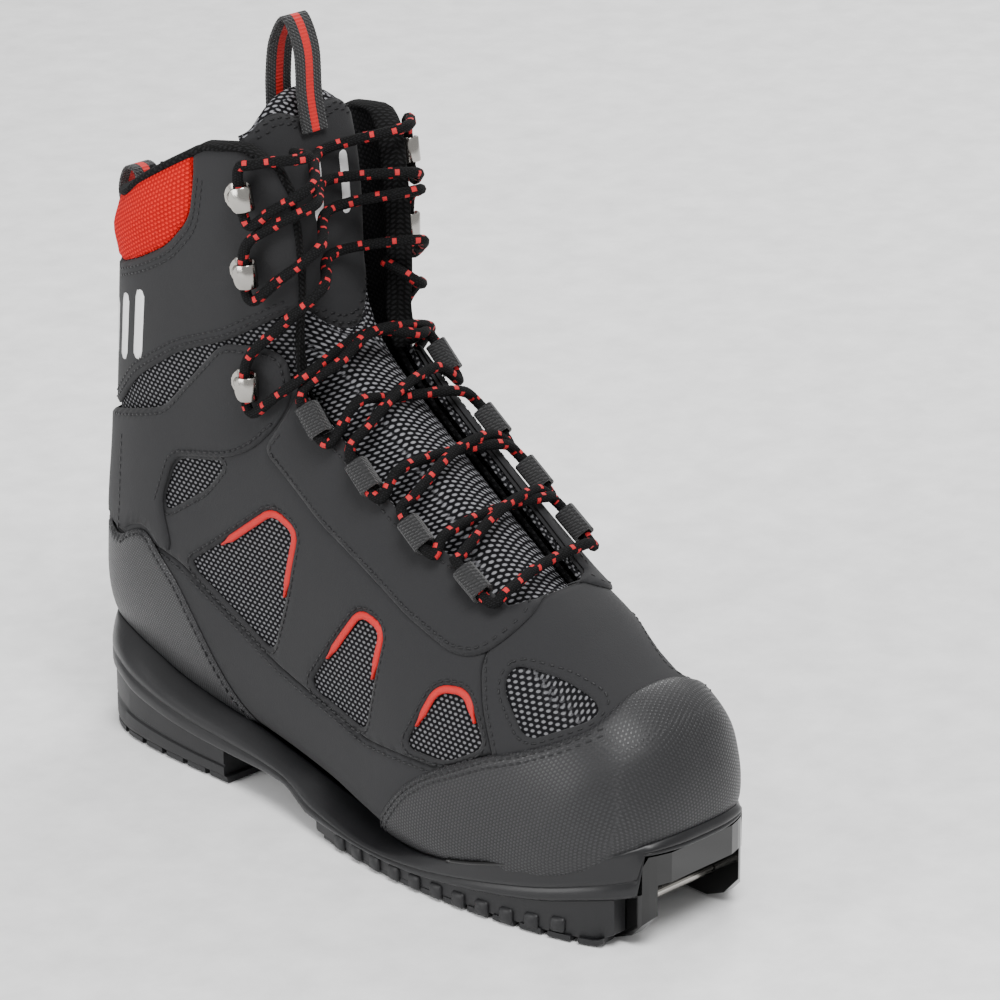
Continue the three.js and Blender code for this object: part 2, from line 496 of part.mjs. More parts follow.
function addSole() {
  const cupRoom = plug(SOLE_CLEAR, [0, 1, ...LOW_ROWS]).subtract(belowFoot(CUP_RISE));
  const side = sidePrism([...MIDSOLE_UNDERSIDE, ...[...FEATHER_EDGE].reverse()], BOTH);
  const pocket = (gap) => sidePrism([[-112 + gap, -10], [-112 + gap, 23], [-124, 25 + gap], [-146, 30 + gap],
    [-148, 36 + gap], [-160, 36 + gap], [-160, -10]], [-RECESS.cheek - gap, RECESS.cheek + gap]);
  const shankAt = (low, high, [y0, y1], halfWidth) => sidePrism(
    [[y0, 12 + low], [y1, 19 + low], [y1, 19 + high], [y0, 12 + high]], [-halfWidth, halfWidth]);
  addSolid('midsole', 'rubber', cut(
    soleOutline(0).intersect(side), cupRoom, pocket(GAP), shankAt(1.8, 12, [4, 82], 6.3)));
  addSolid('shank', 'steel', shankAt(2.1, 3.6, [4.3, 81.7], 6));

  addSolid('insole_board', 'board', cut(plug(-4.5, LOW_ROWS).intersect(belowFoot(5.2)), inFront(-95)));
  addSolid('footbed', 'textile', cut(plug(-8.4, LOW_ROWS.slice(2)).intersect(belowFoot(12)), inFront(-84)));

  const tread = soleOutline(1.5).subtract(sidePrism(
    [...shifted(MIDSOLE_UNDERSIDE, -GAP), [-180, 60], [180, 60]], BOTH));
  addSolid('heel_tread', 'rubber', tread.intersect(
    sidePrism([[63, 0], [61.5, 30], [165, 30], [155, 14], [144.7, 2], [142, 0]], BOTH)));
  const grooves = [-1, 1].map((sign) => sidePrism([[-113, -5], [-113, GROOVE.top], [30, GROOVE.top], [30, -5]],
    [Math.min(sign * GROOVE.inner, sign * GROOVE.outer), Math.max(sign * GROOVE.inner, sign * GROOVE.outer)]));
  const forefoot = tread.intersect(
    sidePrism([[4.8, 0], [13, 7.2], [12, 30], [-165, 30], [-148, 14], [-140, 3], [-134, 0]], BOTH));
  addSolid('forefoot_tread', 'rubber', cut(forefoot, pocket(GAP), ...grooves));

  const mouth = sidePrism([[-118, -10], [-118, 17], [-124, 19.5], [-146, 24], [-170, 26], [-170, -10]],
    [-RECESS.halfWidth, RECESS.halfWidth]);
  const front = sidePrism(
    [[-142, 4], [-151, 14], [-151, 60], [-112, 60], [-112, 2], [-118, 1], [-134, 0.6]], BOTH);
  const bore = extrude(new THREE.Shape().absarc(TOE_BAR.y, TOE_BAR.z, TOE_BAR.radius + 1.2 * GAP, 0, 2 * Math.PI),
    [Y, Z, X], -TOE_BAR.halfLength - GAP, TOE_BAR.halfLength + GAP, 12);
  addSolid('toe_insert', 'gloss', cut(pocket(0).intersect(soleOutline(0)).intersect(front), mouth, bore));
  const bar = addGeometry('toe_bar', 'steel',
    new THREE.CylinderGeometry(TOE_BAR.radius, TOE_BAR.radius, 2 * TOE_BAR.halfLength, 20));
  bar.position.set(0, TOE_BAR.y, TOE_BAR.z);
  bar.rotation.z = Math.PI / 2;
}

// ---------------------------------------------------------------- tongue and pull loops

function addTongue() {
  const rows = Array.from({ length: 15 }, (_, i) => THREE.MathUtils.lerp(TONGUE.from, TONGUE.to, i / 14));
  const columns = [-1, -0.7, -0.35, 0, 0.35, 0.7, 1];
  const along = (place) => (place - TONGUE.from) / (TONGUE.to - TONGUE.from);
  const sheet = (depth) => (place, side) => tonguePoint(place, side, depth(place));
  const [skinTop, skinBottom] = TONGUE.skin;
  const padBottom = (place) => skinBottom - GAP - THREE.MathUtils.lerp(...TONGUE.pad, along(place));
  const skin = slab(rows, columns, sheet(() => skinTop), sheet(() => skinBottom), false);
  const point = (lift) => sidePrism([[-60, 186 - lift], [8, 184 - lift], [25, 197 - lift], [90, 214 - lift],
    [90, 330], [-60, 330]], BOTH);
  addSolid('tongue_cover', 'nubuck', skin.intersect(point(0)));
  addSolid('tongue_mesh', 'mesh', skin.subtract(point(GAP)));
  addSolid('tongue_pad', 'foam', slab(rows, columns, sheet(() => skinBottom - GAP), sheet(padBottom), false));
}

// A strap bent along a path seen from the side.
function addStrap(name, path, halfWidth, thickness) {
  const line = new THREE.SplineCurve(path.map((point) => new THREE.Vector2(...point))).getPoints(14);
  const points = line.map((point) => [point.x, point.y]);
  addSolid(name, 'textile', sidePrism(
    [...points, ...shifted(points, thickness).reverse()], [-halfWidth, halfWidth]));
}

// ---------------------------------------------------------------- lacing

// A frame on the reference surface: x across and away from the lacing, y up along the boot, z out of the surface.
function fittingFrame(place, turn) {
  const along = surfacePoint(place + 0.05, turn).sub(surfacePoint(place - 0.05, turn)).normalize();
  const out = offsetPoint(place, turn, 1).sub(surfacePoint(place, turn)).normalize();
  const across = new THREE.Vector3().crossVectors(along, out).normalize();
  const matrix = new THREE.Matrix4().makeBasis(across, along, out);
  matrix.setPosition(offsetPoint(place, turn, FITTING_HEIGHT));
  return matrix;
}

// A profile in [across, out], carried along the boot and set on the surface.
function addFitting(name, colour, shape, length, place, turn) {
  const geometry = new THREE.ExtrudeGeometry(shape, { depth: length, bevelEnabled: false, curveSegments: 2 });
  geometry.translate(0, 0, -length / 2);
  geometry.applyMatrix4(new THREE.Matrix4().makeBasis(X, Z, Y.clone().negate()));
  const mesh = addGeometry(name, colour, geometry);
  mesh.applyMatrix4(fittingFrame(place, turn));
  return mesh;
}

function loopShape() {
  const [width, height] = LOOP.inner.map((size) => size / 2);
  const middle = LOOP.wall + height;
  const box = (w, h) => [[-w, middle - h], [w, middle - h], [w, middle + h], [-w, middle + h]];
  const shape = roundedShape(box(width + LOOP.wall, height + LOOP.wall), 2.6);
  shape.holes.push(roundedShape(box(width, height), 1.4));
  return shape;
}

function hookShape(away) {
  const { inner, wall, foot, arm } = HOOK;
  const top = wall + 2 * inner;
  const shape = new THREE.Shape();
  shape.moveTo(away * foot, 0);
  shape.lineTo(0, 0);
  shape.absarc(0, wall + inner, wall + inner, -Math.PI / 2, Math.PI / 2, away > 0);
  shape.lineTo(away * arm, top + wall);
  shape.lineTo(away * arm, top);
  shape.absarc(0, wall + inner, inner, Math.PI / 2, -Math.PI / 2, away < 0);
  shape.lineTo(away * foot, wall);
  shape.closePath();
  return shape;
}

const mirrored = (side, turn) => (side === 'lateral' ? turn : 1 - turn);
const awayFrom = (side) => (side === 'lateral' ? -1 : 1);

function addLacing() {
  for (const side of SIDES) {
    LOOPS[side].forEach(([place, turn], i) => {
      addFitting(`lace_loop_${side}_${i + 1}`, 'textile', loopShape(), LOOP.length, place, turn);
    });
    for (const [name, [place, turn]] of Object.entries(HOOKS)) {
      const shape = hookShape(awayFrom(side));
      addFitting(`hook_${name}_${side}`, 'steel', shape, HOOK.length, place, mirrored(side, turn));
    }
  }
}

// The two ends of the channel that the lace runs through, in the middle of its height.
function channel(side, [place, turn], height, length) {
  const frame = fittingFrame(place, turn);
  const reach = length / 2 + LACE_RADIUS + 2.1;
  return [-reach, reach].map((y) => new THREE.Vector3(0, y, height).applyMatrix4(frame));
}

// A line whose points are exactly the given ones, so that each is one ring of the tube drawn along it.
class Route extends THREE.CatmullRomCurve3 {
  getUtoTmapping(u) {
    return u;
  }
}

function addLace() {
  const loop = (side, i) => {
    const [place, turn] = LOOPS[side][i];
    return { side, place, ends: channel(side, [place, turn], LOOP.wall + LOOP.inner[1] / 2, LOOP.length) };
  };
  const hook = (side, name) => {
    const place = HOOKS[name][0];
    const at = [place, mirrored(side, HOOKS[name][1])];
    return { side, place, ends: channel(side, at, HOOK.wall + HOOK.inner, HOOK.length) };
  };
  const turnOn = (side, half) => (side === 'lateral' ? 0.5 - half : 0.5 + half);

  // From one fitting over the edge of the opening, across the tongue and over the other edge.
  const crossing = (from, to, height) => {
    const at = (t, side, half, rise) => offsetPoint(
      THREE.MathUtils.lerp(from.place + 0.3, to.place - 0.3, t), turnOn(side, half), rise);
    return [at(0.2, from.side, 0.07, 4.7), at(0.5, from.side, 0, height), at(0.8, to.side, 0.07, 4.7)];
  };
  // Over the ankle it rounds the panels' edge before it drops to the locking hook.
  const toLock = (from, to, height) => {
    const place = (t) => THREE.MathUtils.lerp(from.place + 0.3, to.place - 0.78, t);
    return [...crossing(from, to, height).slice(0, 2), offsetPoint(place(0.75), turnOn(to.side, 0.1), 5.6),
      offsetPoint(place(0.97), turnOn(to.side, 0.13), 5.8)];
  };
  // Higher up the strand turns round the cuff's front edge on each side.
  const wrap = (from, to) => {
    const place = (t) => THREE.MathUtils.lerp(from.place + 0.66, to.place - 0.66, t);
    const corner = (t, side) => offsetPoint(place(t), turnOn(side, 0.125), 4.8);
    const edge = (t, side) => {
      const ridge = surfacePoint(place(t), 0.5);
      return new THREE.Vector3(awayFrom(side) * 24, ridge.y - 1.5, ridge.z);
    };
    const middle = tonguePoint(place(0.5), 0, TONGUE.skin[0] + LACE_RADIUS + 0.6);
    return [corner(0.12, from.side), edge(0.25, from.side), middle, edge(0.75, to.side), corner(0.88, to.side)];
  };

  const upper = 2.4;
  const lower = -2.3;
  const first = [loop('lateral', 0), loop('medial', 1), loop('lateral', 2), loop('medial', 3)];
  const second = [loop('medial', 0), loop('lateral', 1), loop('medial', 2), loop('lateral', 3)];
  const climb = [hook('lateral', 'lock'), hook('medial', 'low'), hook('lateral', 'low'), hook('medial', 'high'),
    hook('lateral', 'high')];
  const through = (stops, between) => stops.flatMap((stop, i) => (
    i === 0 ? stop.ends : [...between(stops[i - 1], stop, i), ...stop.ends]));
  const rising = [...through(first, (a, b, i) => crossing(a, b, i % 2 ? upper : lower)),
    ...toLock(first[3], climb[0], lower), ...through(climb, wrap)];
  const lock = hook('medial', 'lock');
  const other = [...through(second, (a, b, i) => crossing(a, b, i % 2 ? lower : upper)),
    ...toLock(second[3], lock, upper), ...lock.ends];

  const ridge = surfacePoint(11, 0.5);
  const bar = [offsetPoint(11.1, 0.568, 6), ridge, offsetPoint(10.85, 0.44, 6)];
  const spot = (x, y, z) => new THREE.Vector3(x, y, z);
  const tuckedMedial = [offsetPoint(17.9, 0.63, 4.6), spot(25, 17, 199), spot(19, 30, 206)];
  const tuckedLateral = [offsetPoint(21.5, 0.37, 4.8), spot(-25, 23, 257), spot(-20, 36, 255)];
  const points = [...tuckedMedial.reverse(), ...other.reverse(), ...bar, ...rising, ...tuckedLateral];
  const section = new THREE.Shape().absarc(0, 0, LACE_RADIUS, 0, 2 * Math.PI);
  addGeometry('lace', 'textile', new THREE.ExtrudeGeometry(section, {
    steps: points.length - 1,
    extrudePath: new Route(points),
    curveSegments: 4,
    bevelEnabled: false,
  }));
}

addUpper();
addSole();
addTongue();
addStrap('tongue_pull_loop',
  [[44.8, 257], [47.6, 270], [49, 288], [56, 299.4], [63.3, 290], [65.7, 276], [65.7, 262]], 6, 1.6);
addStrap('heel_pull_loop',
  [[137.6, 217], [141, 222.5], [147, 222], [150.5, 213], [148, 203], [141.5, 195]], 5.5, 1.5);
addLacing();
addLace();

export default boot;
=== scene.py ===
"""Cross country touring boot, right foot. Lengths in this script are in millimetres until a mesh is made.
+Z is up, the toe points to -Y, the outer (lateral) side is -X and the inner (medial) side is +X."""

import math

import bmesh
import bpy
import numpy as np
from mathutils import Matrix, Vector


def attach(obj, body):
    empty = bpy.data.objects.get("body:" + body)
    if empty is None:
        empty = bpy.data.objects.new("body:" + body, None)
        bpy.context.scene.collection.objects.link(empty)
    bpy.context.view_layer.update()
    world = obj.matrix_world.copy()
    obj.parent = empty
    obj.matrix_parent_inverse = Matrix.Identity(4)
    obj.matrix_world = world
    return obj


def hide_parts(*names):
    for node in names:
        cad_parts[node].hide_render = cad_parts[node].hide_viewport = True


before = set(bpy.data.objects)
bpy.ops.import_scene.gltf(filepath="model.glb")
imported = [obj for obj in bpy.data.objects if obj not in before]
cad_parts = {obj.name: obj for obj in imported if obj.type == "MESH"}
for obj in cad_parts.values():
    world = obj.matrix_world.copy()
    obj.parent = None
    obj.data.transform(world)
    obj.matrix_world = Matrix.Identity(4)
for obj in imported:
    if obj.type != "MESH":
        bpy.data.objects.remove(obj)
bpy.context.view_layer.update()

# ------------------------------------------------------------------ driving dimensions

MM = 0.001

# The upper's sections: ridge y, z; underfoot y, z; lateral and medial half widths; where it is widest from
# the underfoot line (0) to the ridge (1); superellipse powers of the lateral crown, medial crown and base.
SECTIONS = np.array([
    (-108, 19, -98, 17.5, 8, 8, 0.5, 2, 2, 2), (-132, 27, -99, 17.5, 34, 31, 0.3, 2.4, 2.4, 3),
    (-145, 35, -98, 18.5, 42.5, 38, 0.16, 2.4, 2.5, 4), (-149.5, 43, -96, 20, 45, 40.5, 0.12, 2.4, 2.5, 4),
    (-150, 53, -94, 19, 46, 41.5, 0.14, 2.4, 2.5, 4), (-147.5, 64, -91, 18, 46.5, 43, 0.16, 2.4, 2.5, 4),
    (-142, 75, -88, 17, 47, 44.5, 0.19, 2.4, 2.5, 4), (-132, 84, -84, 15, 47.5, 46, 0.22, 2.3, 2.4, 4),
    (-118, 91, -79, 13, 48.5, 47.5, 0.24, 2.2, 2.3, 4), (-103, 99, -72, 11, 49.5, 49.5, 0.25, 2.15, 2.3, 4),
    (-88, 108, -63, 9.5, 50, 50, 0.25, 2.1, 2.35, 4), (-70, 118, -50, 8.5, 49.5, 48, 0.25, 2.05, 2.5, 4),
    (-48, 132, -34, 8.5, 47.5, 45, 0.25, 2.05, 2.8, 4), (-26, 147, -14, 10, 44, 42.5, 0.26, 2.1, 3.1, 3.6),
    (-6, 161, 12, 13, 40.5, 40.5, 0.3, 2.3, 3.4, 3.2), (9, 173, 52, 17, 38, 39, 0.36, 2.6, 3.6, 2.8),
    (17, 184, 105, 22, 37, 38, 0.42, 2.9, 3.7, 2.5), (19, 195, 146, 38, 37, 37.5, 0.47, 3.2, 3.8, 2.3),
    (18.5, 208, 151, 74, 37.5, 37.5, 0.5, 3.4, 3.8, 2.2), (19.5, 222, 146.5, 112, 38, 38, 0.5, 3.6, 3.8, 2.2),
    (21.5, 237, 142.5, 148, 39, 39, 0.5, 3.6, 3.8, 2.2), (25, 252, 139, 184, 40, 40, 0.5, 3.6, 3.8, 2.2),
    (31, 268, 134.5, 220, 41, 41, 0.5, 3.6, 3.8, 2.2), (37, 284, 131, 246, 42, 42, 0.5, 3.6, 3.8, 2.2),
])
# Offsets from that surface: [inner face, outer face].
LINING = (-8, -6)
MESH = (-4.2, -1.9)
PANEL = (-1.6, -0.2)
OVERLAY = (0.1, 1.5)
PRINT = (-0.2, -0.05)
# How a layer's edge is rolled over: [width, drop].
PANEL_EDGE = (1.3, 0.9)
OVERLAY_EDGE = (1.8, 1.2)
PANEL_GAP = 0.2
# The girth of the upper at the throat is about this long, in millimetres for a whole turn.
GIRTH = 290

# The edge of the lacing opening: place, lateral turn, medial turn.
THROAT = np.array([
    (10.4, 0.475, 0.525), (10.73, 0.435, 0.56), (11.9, 0.423, 0.572), (13.05, 0.405, 0.58),
    (14.38, 0.398, 0.585), (15.78, 0.385, 0.607), (17.38, 0.392, 0.608), (19, 0.394, 0.606),
    (20.62, 0.395, 0.605), (21.3, 0.385, 0.615), (21.85, 0.355, 0.645), (22.1, 0.313, 0.687),
    (23, 0.313, 0.687),
])

# Seen from the side, as (y, z).
FEATHER_EDGE = [(156, 46), (135, 44), (114, 38.6), (100, 34), (78, 29.6), (57, 26.8), (45, 25), (17, 20),
                (0, 15), (-28, 10.8), (-64, 15.8), (-95, 23.5), (-126, 32.2), (-144, 38.5), (-156, 43.5)]
MIDSOLE_UNDERSIDE = [(156, 25), (131, 24.5), (115, 20), (91, 16), (62, 13.3), (34, 13.3), (23.5, 12.4),
                     (13, 7.5), (5, 6.6), (-48, 6.6), (-73, 8.4), (-108, 12.7), (-131, 17.5), (-156, 22)]
# Seen from below: y, lateral x, medial x.
SOLE_OUTLINE = [(152.5, 0, 0), (149.5, 12, 12), (140, 25, 25), (125, 33, 33), (105, 36, 36), (84, 37, 37),
                (63, 37, 36.5), (40, 38.5, 34), (17, 42, 34), (-5, 46.5, 37.5), (-28, 50, 43.5),
                (-48, 51.5, 48), (-73, 51, 49.5), (-95, 48.5, 48.5), (-115, 44.5, 44), (-130, 39.5, 38),
                (-141, 33.5, 31.5), (-148.5, 25, 23.5), (-152.2, 12, 12), (-152.9, 0, 0)]
COLLAR = [(45.5, 258.2), (61.6, 256), (83, 244.5), (100, 235), (114, 225.5), (134, 220.5), (160, 219)]
PAD_EDGE = [(67.6, 262), (69, 243), (72.5, 226), (85.6, 212.6), (102, 204), (121, 196.5), (160, 192)]
CUFF_EDGE = [(160, 127), (143, 130), (125.4, 138.6), (108.5, 154.7), (81, 172), (55, 182.3), (29, 197.4),
             (20, 204)]
ANKLE_PANEL = [(160, 127), (143, 128), (127, 135.7), (90, 147.7), (57.6, 180.8), (39.4, 183.4),
               (31.6, 180.3), (29.6, 171.6), (28.9, 162.8), (34.5, 151.8), (44.2, 142), (56.3, 135.7),
               (85.6, 129.3), (94.3, 108.8), (89, 88.5), (97, 88.5), (104, 95.6), (113.6, 93.4),
               (123.6, 86.8), (160, 88)]
HEEL_COUNTER = [(48, 12), (52, 24), (63, 41), (74.7, 59.3), (87.3, 76.6), (97.5, 85.9), (104, 93.6),
                (113.6, 91.4), (123.6, 84.4), (160, 86), (160, 12)]
TOE_CAP = [(-160, 10), (-30, 3), (-30, 15.7), (-33, 21.6), (-47.3, 39), (-60.4, 48.9), (-86, 62.2),
           (-101.8, 68), (-115.6, 74.4), (-124.5, 80), (-124.5, 110), (-160, 110)]
EYESTAY_EDGE = {
    "lateral": [(18, 174), (26.5, 170), (27.9, 162.6), (33.8, 151), (39.3, 143), (9.2, 122.5), (-36.7, 100.8),
                (-61.8, 92.1), (-72.6, 93.1), (-79.9, 100.2), (-82.7, 107.4), (-80, 111.5)],
    "medial": [(18, 174), (26.5, 170), (27.9, 162.6), (33.8, 151), (39.3, 143), (9.2, 126), (-36.7, 107),
               (-61.8, 99), (-72.6, 99), (-79.9, 103), (-82.7, 108), (-80, 111.5)],
}
MUDGUARD_EDGE = {
    "lateral": [(85, 84.8), (61.4, 73.8), (31.6, 60.4), (13.7, 55.7), (-23, 48.8), (-57, 51.2), (-64, 51.2)],
    "medial": [(85, 84.8), (50, 80), (20, 76), (-14, 78), (-45, 79), (-66, 76), (-80, 69)],
}
QUARTER_TOP = [(175, 125), (143, 128), (125, 131), (92, 142), (60, 170), (44, 176), (36, 172), (33, 166),
               (0, 180)]
VAMP_REAR = [(-80, 135), (-74, 92), (-80.5, 78), (-89, 64), (-91, 58), (-66, 44), (-53, 34), (-39, 18),
             (-36, -10)]
WINDOWS = {
    "lateral": {
        "ankle": [(85.8, 127.8), (57.7, 133.7), (68.6, 120), (92.6, 104.1), (94.3, 108.8)],
        "rear": [(81.2, 86.4), (61.6, 100.4), (34, 121.5), (20, 116.2), (25.1, 88.6), (32.8, 64)],
        "middle": [(12.1, 58), (1.3, 73.1), (-15.4, 96.7), (-29.1, 92.8), (-26.8, 72.9), (-23.7, 51.5)],
        "front": [(-46.4, 54), (-51.5, 64.1), (-58.6, 80.5), (-72.5, 82.6), (-79.8, 72.7), (-85.6, 65),
                  (-68.6, 55)],
    },
    "medial": {
        "ankle": [(85.8, 127.8), (57.7, 133.7), (68.6, 124), (88, 113), (94.3, 113)],
        "long": [(70, 89), (50, 105), (18, 118), (-2, 112), (-14, 100), (-10, 84), (20, 81), (50, 84)],
        "small": [(-36, 86), (-50, 97), (-64, 95), (-72, 86), (-64, 82)],
    },
}
# The corners of each window between which a red trim is sewn.
TRIMMED = {"lateral": {"rear": (1, 4), "middle": (1, 4), "front": (1, 4)}, "medial": {"long": (1, 5)}}
VAMP_WINDOW = [(-85.8, 94), (-85.5, 86), (-100.9, 71), (-122, 82), (-118, 86), (-103, 91.5)]

TONGUE = {"from": 9.8, "to": 22.5, "half_turn": (0.105, 0.125), "flare": 0.018, "skin": -9.1, "bulge": 3.6}
TONGUE_BACK = {"from": 14.5, "over": 4, "by": 11.5}
TONGUE_TIP = [(-30, 204), (-18, 197), (-12, 192), (-6, 186.6), (3, 183.4), (12, 186), (24, 199), (30, 204)]

LOOPS = {
    "lateral": [(11.38, 0.422), (12.55, 0.41), (13.8, 0.4), (15.2, 0.388)],
    "medial": [(11.68, 0.595), (12.6, 0.597), (13.6, 0.598), (15.12, 0.6)],
}
HOOKS = {"lock": (17.15, 0.348), "low": (19.48, 0.35), "high": (20.98, 0.355)}
FITTING_HEIGHT = 1.9
LOOP = {"inner": (6.2, 5.8), "wall": 1.2, "length": 12}
HOOK = {"inner": 2.9, "wall": 1, "length": 11, "foot": 9}
LACE_RADIUS = 2.1
# Where the lace's two ends are tucked in behind the cuff.
TUCKED = {"medial": [(25, 17, 199), (19, 30, 206)], "lateral": [(-25, 23, 257), (-20, 36, 255)]}

# Webbing loops seen from the side, as (y, z).
TONGUE_LOOP = [(44.8, 257), (47.6, 270), (49, 288), (56, 299.4), (63.3, 290), (65.7, 276), (65.7, 262)]
HEEL_LOOP = [(137.6, 217), (141, 222.5), (147, 222), (150.5, 213), (148, 203), (141.5, 195)]

STITCH_PITCH = 3.1
# Each ring of a stitch: share of the pitch along it, radius, lift.
STITCH = ((-0.36, 0.12, -0.25), (-0.26, 0.3, 0.02), (0.26, 0.3, 0.02), (0.36, 0.12, -0.25))
# The top of the tongue's cover: its height in the middle, how much higher its shoulders are, and where.
TONGUE_TOP = {"height": 262, "rise": 3.4, "shoulder": 14}

# Each ring of the midsole's wall: inset from the outline, share of the lean toward the upper, share of the
# height.
BAND = (
    (5, 0, 0.0), (1.3, 0, 0.0), (0.5, 0, 0.04), (0.3, 0, 0.1), (0.3, 0, 0.28), (1.0, 0, 0.32),
    (1.0, 0, 0.36), (0.3, 0, 0.4), (0.3, 0.04, 0.52), (0.3, 0.18, 0.64), (0.3, 0.42, 0.76), (0.3, 0.7, 0.87),
    (0.3, 0.9, 0.94), (0.5, 1, 0.98), (1.1, 1, 1.0), (1.8, 1, 0.98),
)
# Each ring of the heel block: inset from the outline, share of the height.
HEEL_BLOCK = ((2.6, 0.0), (1.9, 0.03), (1.6, 0.1), (1.6, 0.36),
              (2.3, 0.4), (2.3, 0.46), (1.6, 0.5), (1.6, 1.0))
# Each ring of a side lug: height, half length, depth in from the sole's edge.
SIDE_LUG = ((0.6, 2.3, 1.1), (1.6, 2.9, 0.35), (5.6, 2.9, 0.35), (6.6, 2.3, 1.1))

SIDES = ("lateral", "medial")
X_SIGN = {"lateral": -1, "medial": 1}

# ------------------------------------------------------------------ the reference surface


def catmull_rom(a, b, c, d, t):
    """The curve from b to c at t, with a and d before and after them."""
    squared = (2 * a - 5 * b + 4 * c - d) * t ** 2
    cubed = (3 * b - a - 3 * c + d) * t ** 3
    return 0.5 * (2 * b + (c - a) * t + squared + cubed)


def section(place):
    """The ten section values at each place, by Catmull-Rom interpolation."""
    last = len(SECTIONS) - 1
    index = np.clip(np.floor(place).astype(int), 0, last - 1)
    t = (place - index)[..., None]
    return catmull_rom(*(SECTIONS[np.clip(index + step, 0, last)] for step in (-1, 0, 1, 2)), t)


def surface(place, turn):
    """Points of the upper's reference surface.

    turn is 0 underfoot, 0.25 at the lateral side, 0.5 on the ridge and 0.75 at the medial side."""
    place, turn = np.broadcast_arrays(np.asarray(place, float), np.asarray(turn, float))
    s = section(place)
    sine = np.sin(2 * np.pi * turn)
    cosine = -np.cos(2 * np.pi * turn)
    power = np.where(cosine > 0, np.where(sine > 0, s[..., 7], s[..., 8]), s[..., 9])
    radius = (np.abs(sine) ** power + np.abs(cosine) ** power) ** (-1 / power)
    x = np.where(sine > 0, -s[..., 4], -s[..., 5]) * radius * sine
    reach = np.where(cosine > 0, 1 - s[..., 6], s[..., 6])
    rise = s[..., 6] + reach * radius * cosine
    y = s[..., 2] + (s[..., 0] - s[..., 2]) * rise
    z = s[..., 3] + (s[..., 1] - s[..., 3]) * rise
    return np.stack([x, y, z], axis=-1)


def outward(place, turn):
    """Unit normals that point out of the boot."""
    step = 0.02
    last = len(SECTIONS) - 1
    place, turn = np.asarray(place), np.asarray(turn)
    along = surface(np.minimum(place + step, last), turn) - surface(np.maximum(place - step, 0), turn)
    across = surface(place, turn + step / 4) - surface(place, turn - step / 4)
    normal = -np.cross(along, across)
    return normal / np.linalg.norm(normal, axis=-1, keepdims=True)


def raised(place, turn, height):
    """Points at a height above the reference surface."""
    return surface(place, turn) + outward(place, turn) * np.asarray(height)[..., None]


def smoothstep(value, low, high):
    t = np.clip((value - low) / (high - low), 0, 1)
    return t * t * (3 - 2 * t)


def tongue_point(place, side, height):
    """Points of the tongue. side runs from -1 at its lateral edge to 1 at its medial edge."""
    place, side, height = (np.asarray(value, float) for value in np.broadcast_arrays(place, side, height))
    along = (place - TONGUE["from"]) / (TONGUE["to"] - TONGUE["from"])
    low, high = TONGUE["half_turn"]
    flare = TONGUE["flare"] * smoothstep(place, 16, 19)
    turn = 0.5 + side * (low + (high - low) * along + flare)
    bulge = TONGUE["bulge"] * np.maximum(0, 1 - (side / 0.72) ** 2)
    bulge = bulge * smoothstep(place, 10.5, 12.5) * (1 - smoothstep(place, 14.5, 16.5))
    start = TONGUE_BACK["from"]
    back = TONGUE_BACK["by"] * smoothstep(place, start, start + TONGUE_BACK["over"])
    return raised(place, turn, height + bulge) + np.stack([0 * back, back, 0 * back], axis=-1)


# ------------------------------------------------------------------ meshes


def piece(name, points, faces, materials, body="shoe", replaces=(), face_materials=None, flat=False):
    """A smooth mesh in the boot's frame, from points in millimetres, that rides on a body."""
    mesh = bpy.data.meshes.new(name)
    mesh.from_pydata((np.asarray(points) * MM).tolist(), [], [list(map(int, face)) for face in faces])
    for material in materials if isinstance(materials, (list, tuple)) else [materials]:
        mesh.materials.append(material)
    if face_materials is not None:
        mesh.polygons.foreach_set("material_index", np.asarray(face_materials, dtype=np.int32))
    mesh.validate()
    work = bmesh.new()
    work.from_mesh(mesh)
    bmesh.ops.recalc_face_normals(work, faces=work.faces)
    work.to_mesh(mesh)
    work.free()
    if not flat:
        mesh.shade_smooth()
    thing = bpy.data.objects.new(name, mesh)
    bpy.context.scene.collection.objects.link(thing)
    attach(thing, body)
    if replaces:
        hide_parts(*replaces)
    return thing


def grid_faces(rows, columns, closed=False):
    """Quads over a grid of rows and columns, closed round each row if asked."""
    steps = columns if closed else columns - 1
    r, c = np.meshgrid(np.arange(rows - 1), np.arange(steps), indexing="ij")
    d = (c + 1) % columns
    here, below = r * columns, (r + 1) * columns
    return np.stack([here + c, below + c, below + d, here + d], -1).reshape(-1, 4)


def tube_faces(rings, count):
    """The faces of a tube of rings with count points each, closed at both ends."""
    first = list(range(count))
    last = list(range((rings - 1) * count, rings * count))
    return [*grid_faces(rings, count, closed=True).tolist(), first, last[::-1]]


def cap_faces(starts, count):
    """Quads across rings whose second half runs back beside their first."""
    return [[start + i, start + i + 1, start + count - 2 - i, start + count - 1 - i]
            for start in starts for i in range(count // 2 - 1)]


def sheet(rows, columns):
    """A grid of points over two parameters, and its triangles."""
    first, second = np.meshgrid(rows, columns, indexing="ij")
    quads = grid_faces(len(rows), len(columns))
    triangles = np.concatenate([quads[:, [0, 1, 2]], quads[:, [0, 2, 3]]])
    return np.stack([first.ravel(), second.ravel()], axis=1), triangles


def soft_line(points, cut=3.0, rounds=2, closed=False):
    """A line through points with its corners cut a few times, so that they turn smoothly."""
    points = np.array(points, float)
    for _ in range(rounds):
        before = points if closed else points[:-1]
        after = np.roll(points, -1, axis=0) if closed else points[1:]
        length = np.linalg.norm(after - before, axis=1, keepdims=True)
        step = np.minimum(0.25, cut / (length + 1e-9)) * (after - before)
        cuts = np.stack([before + step, after - step], axis=1).reshape(-1, 2)
        points = cuts if closed else np.concatenate([points[:1], cuts[1:-1], points[-1:]])
        cut /= 2
    return points


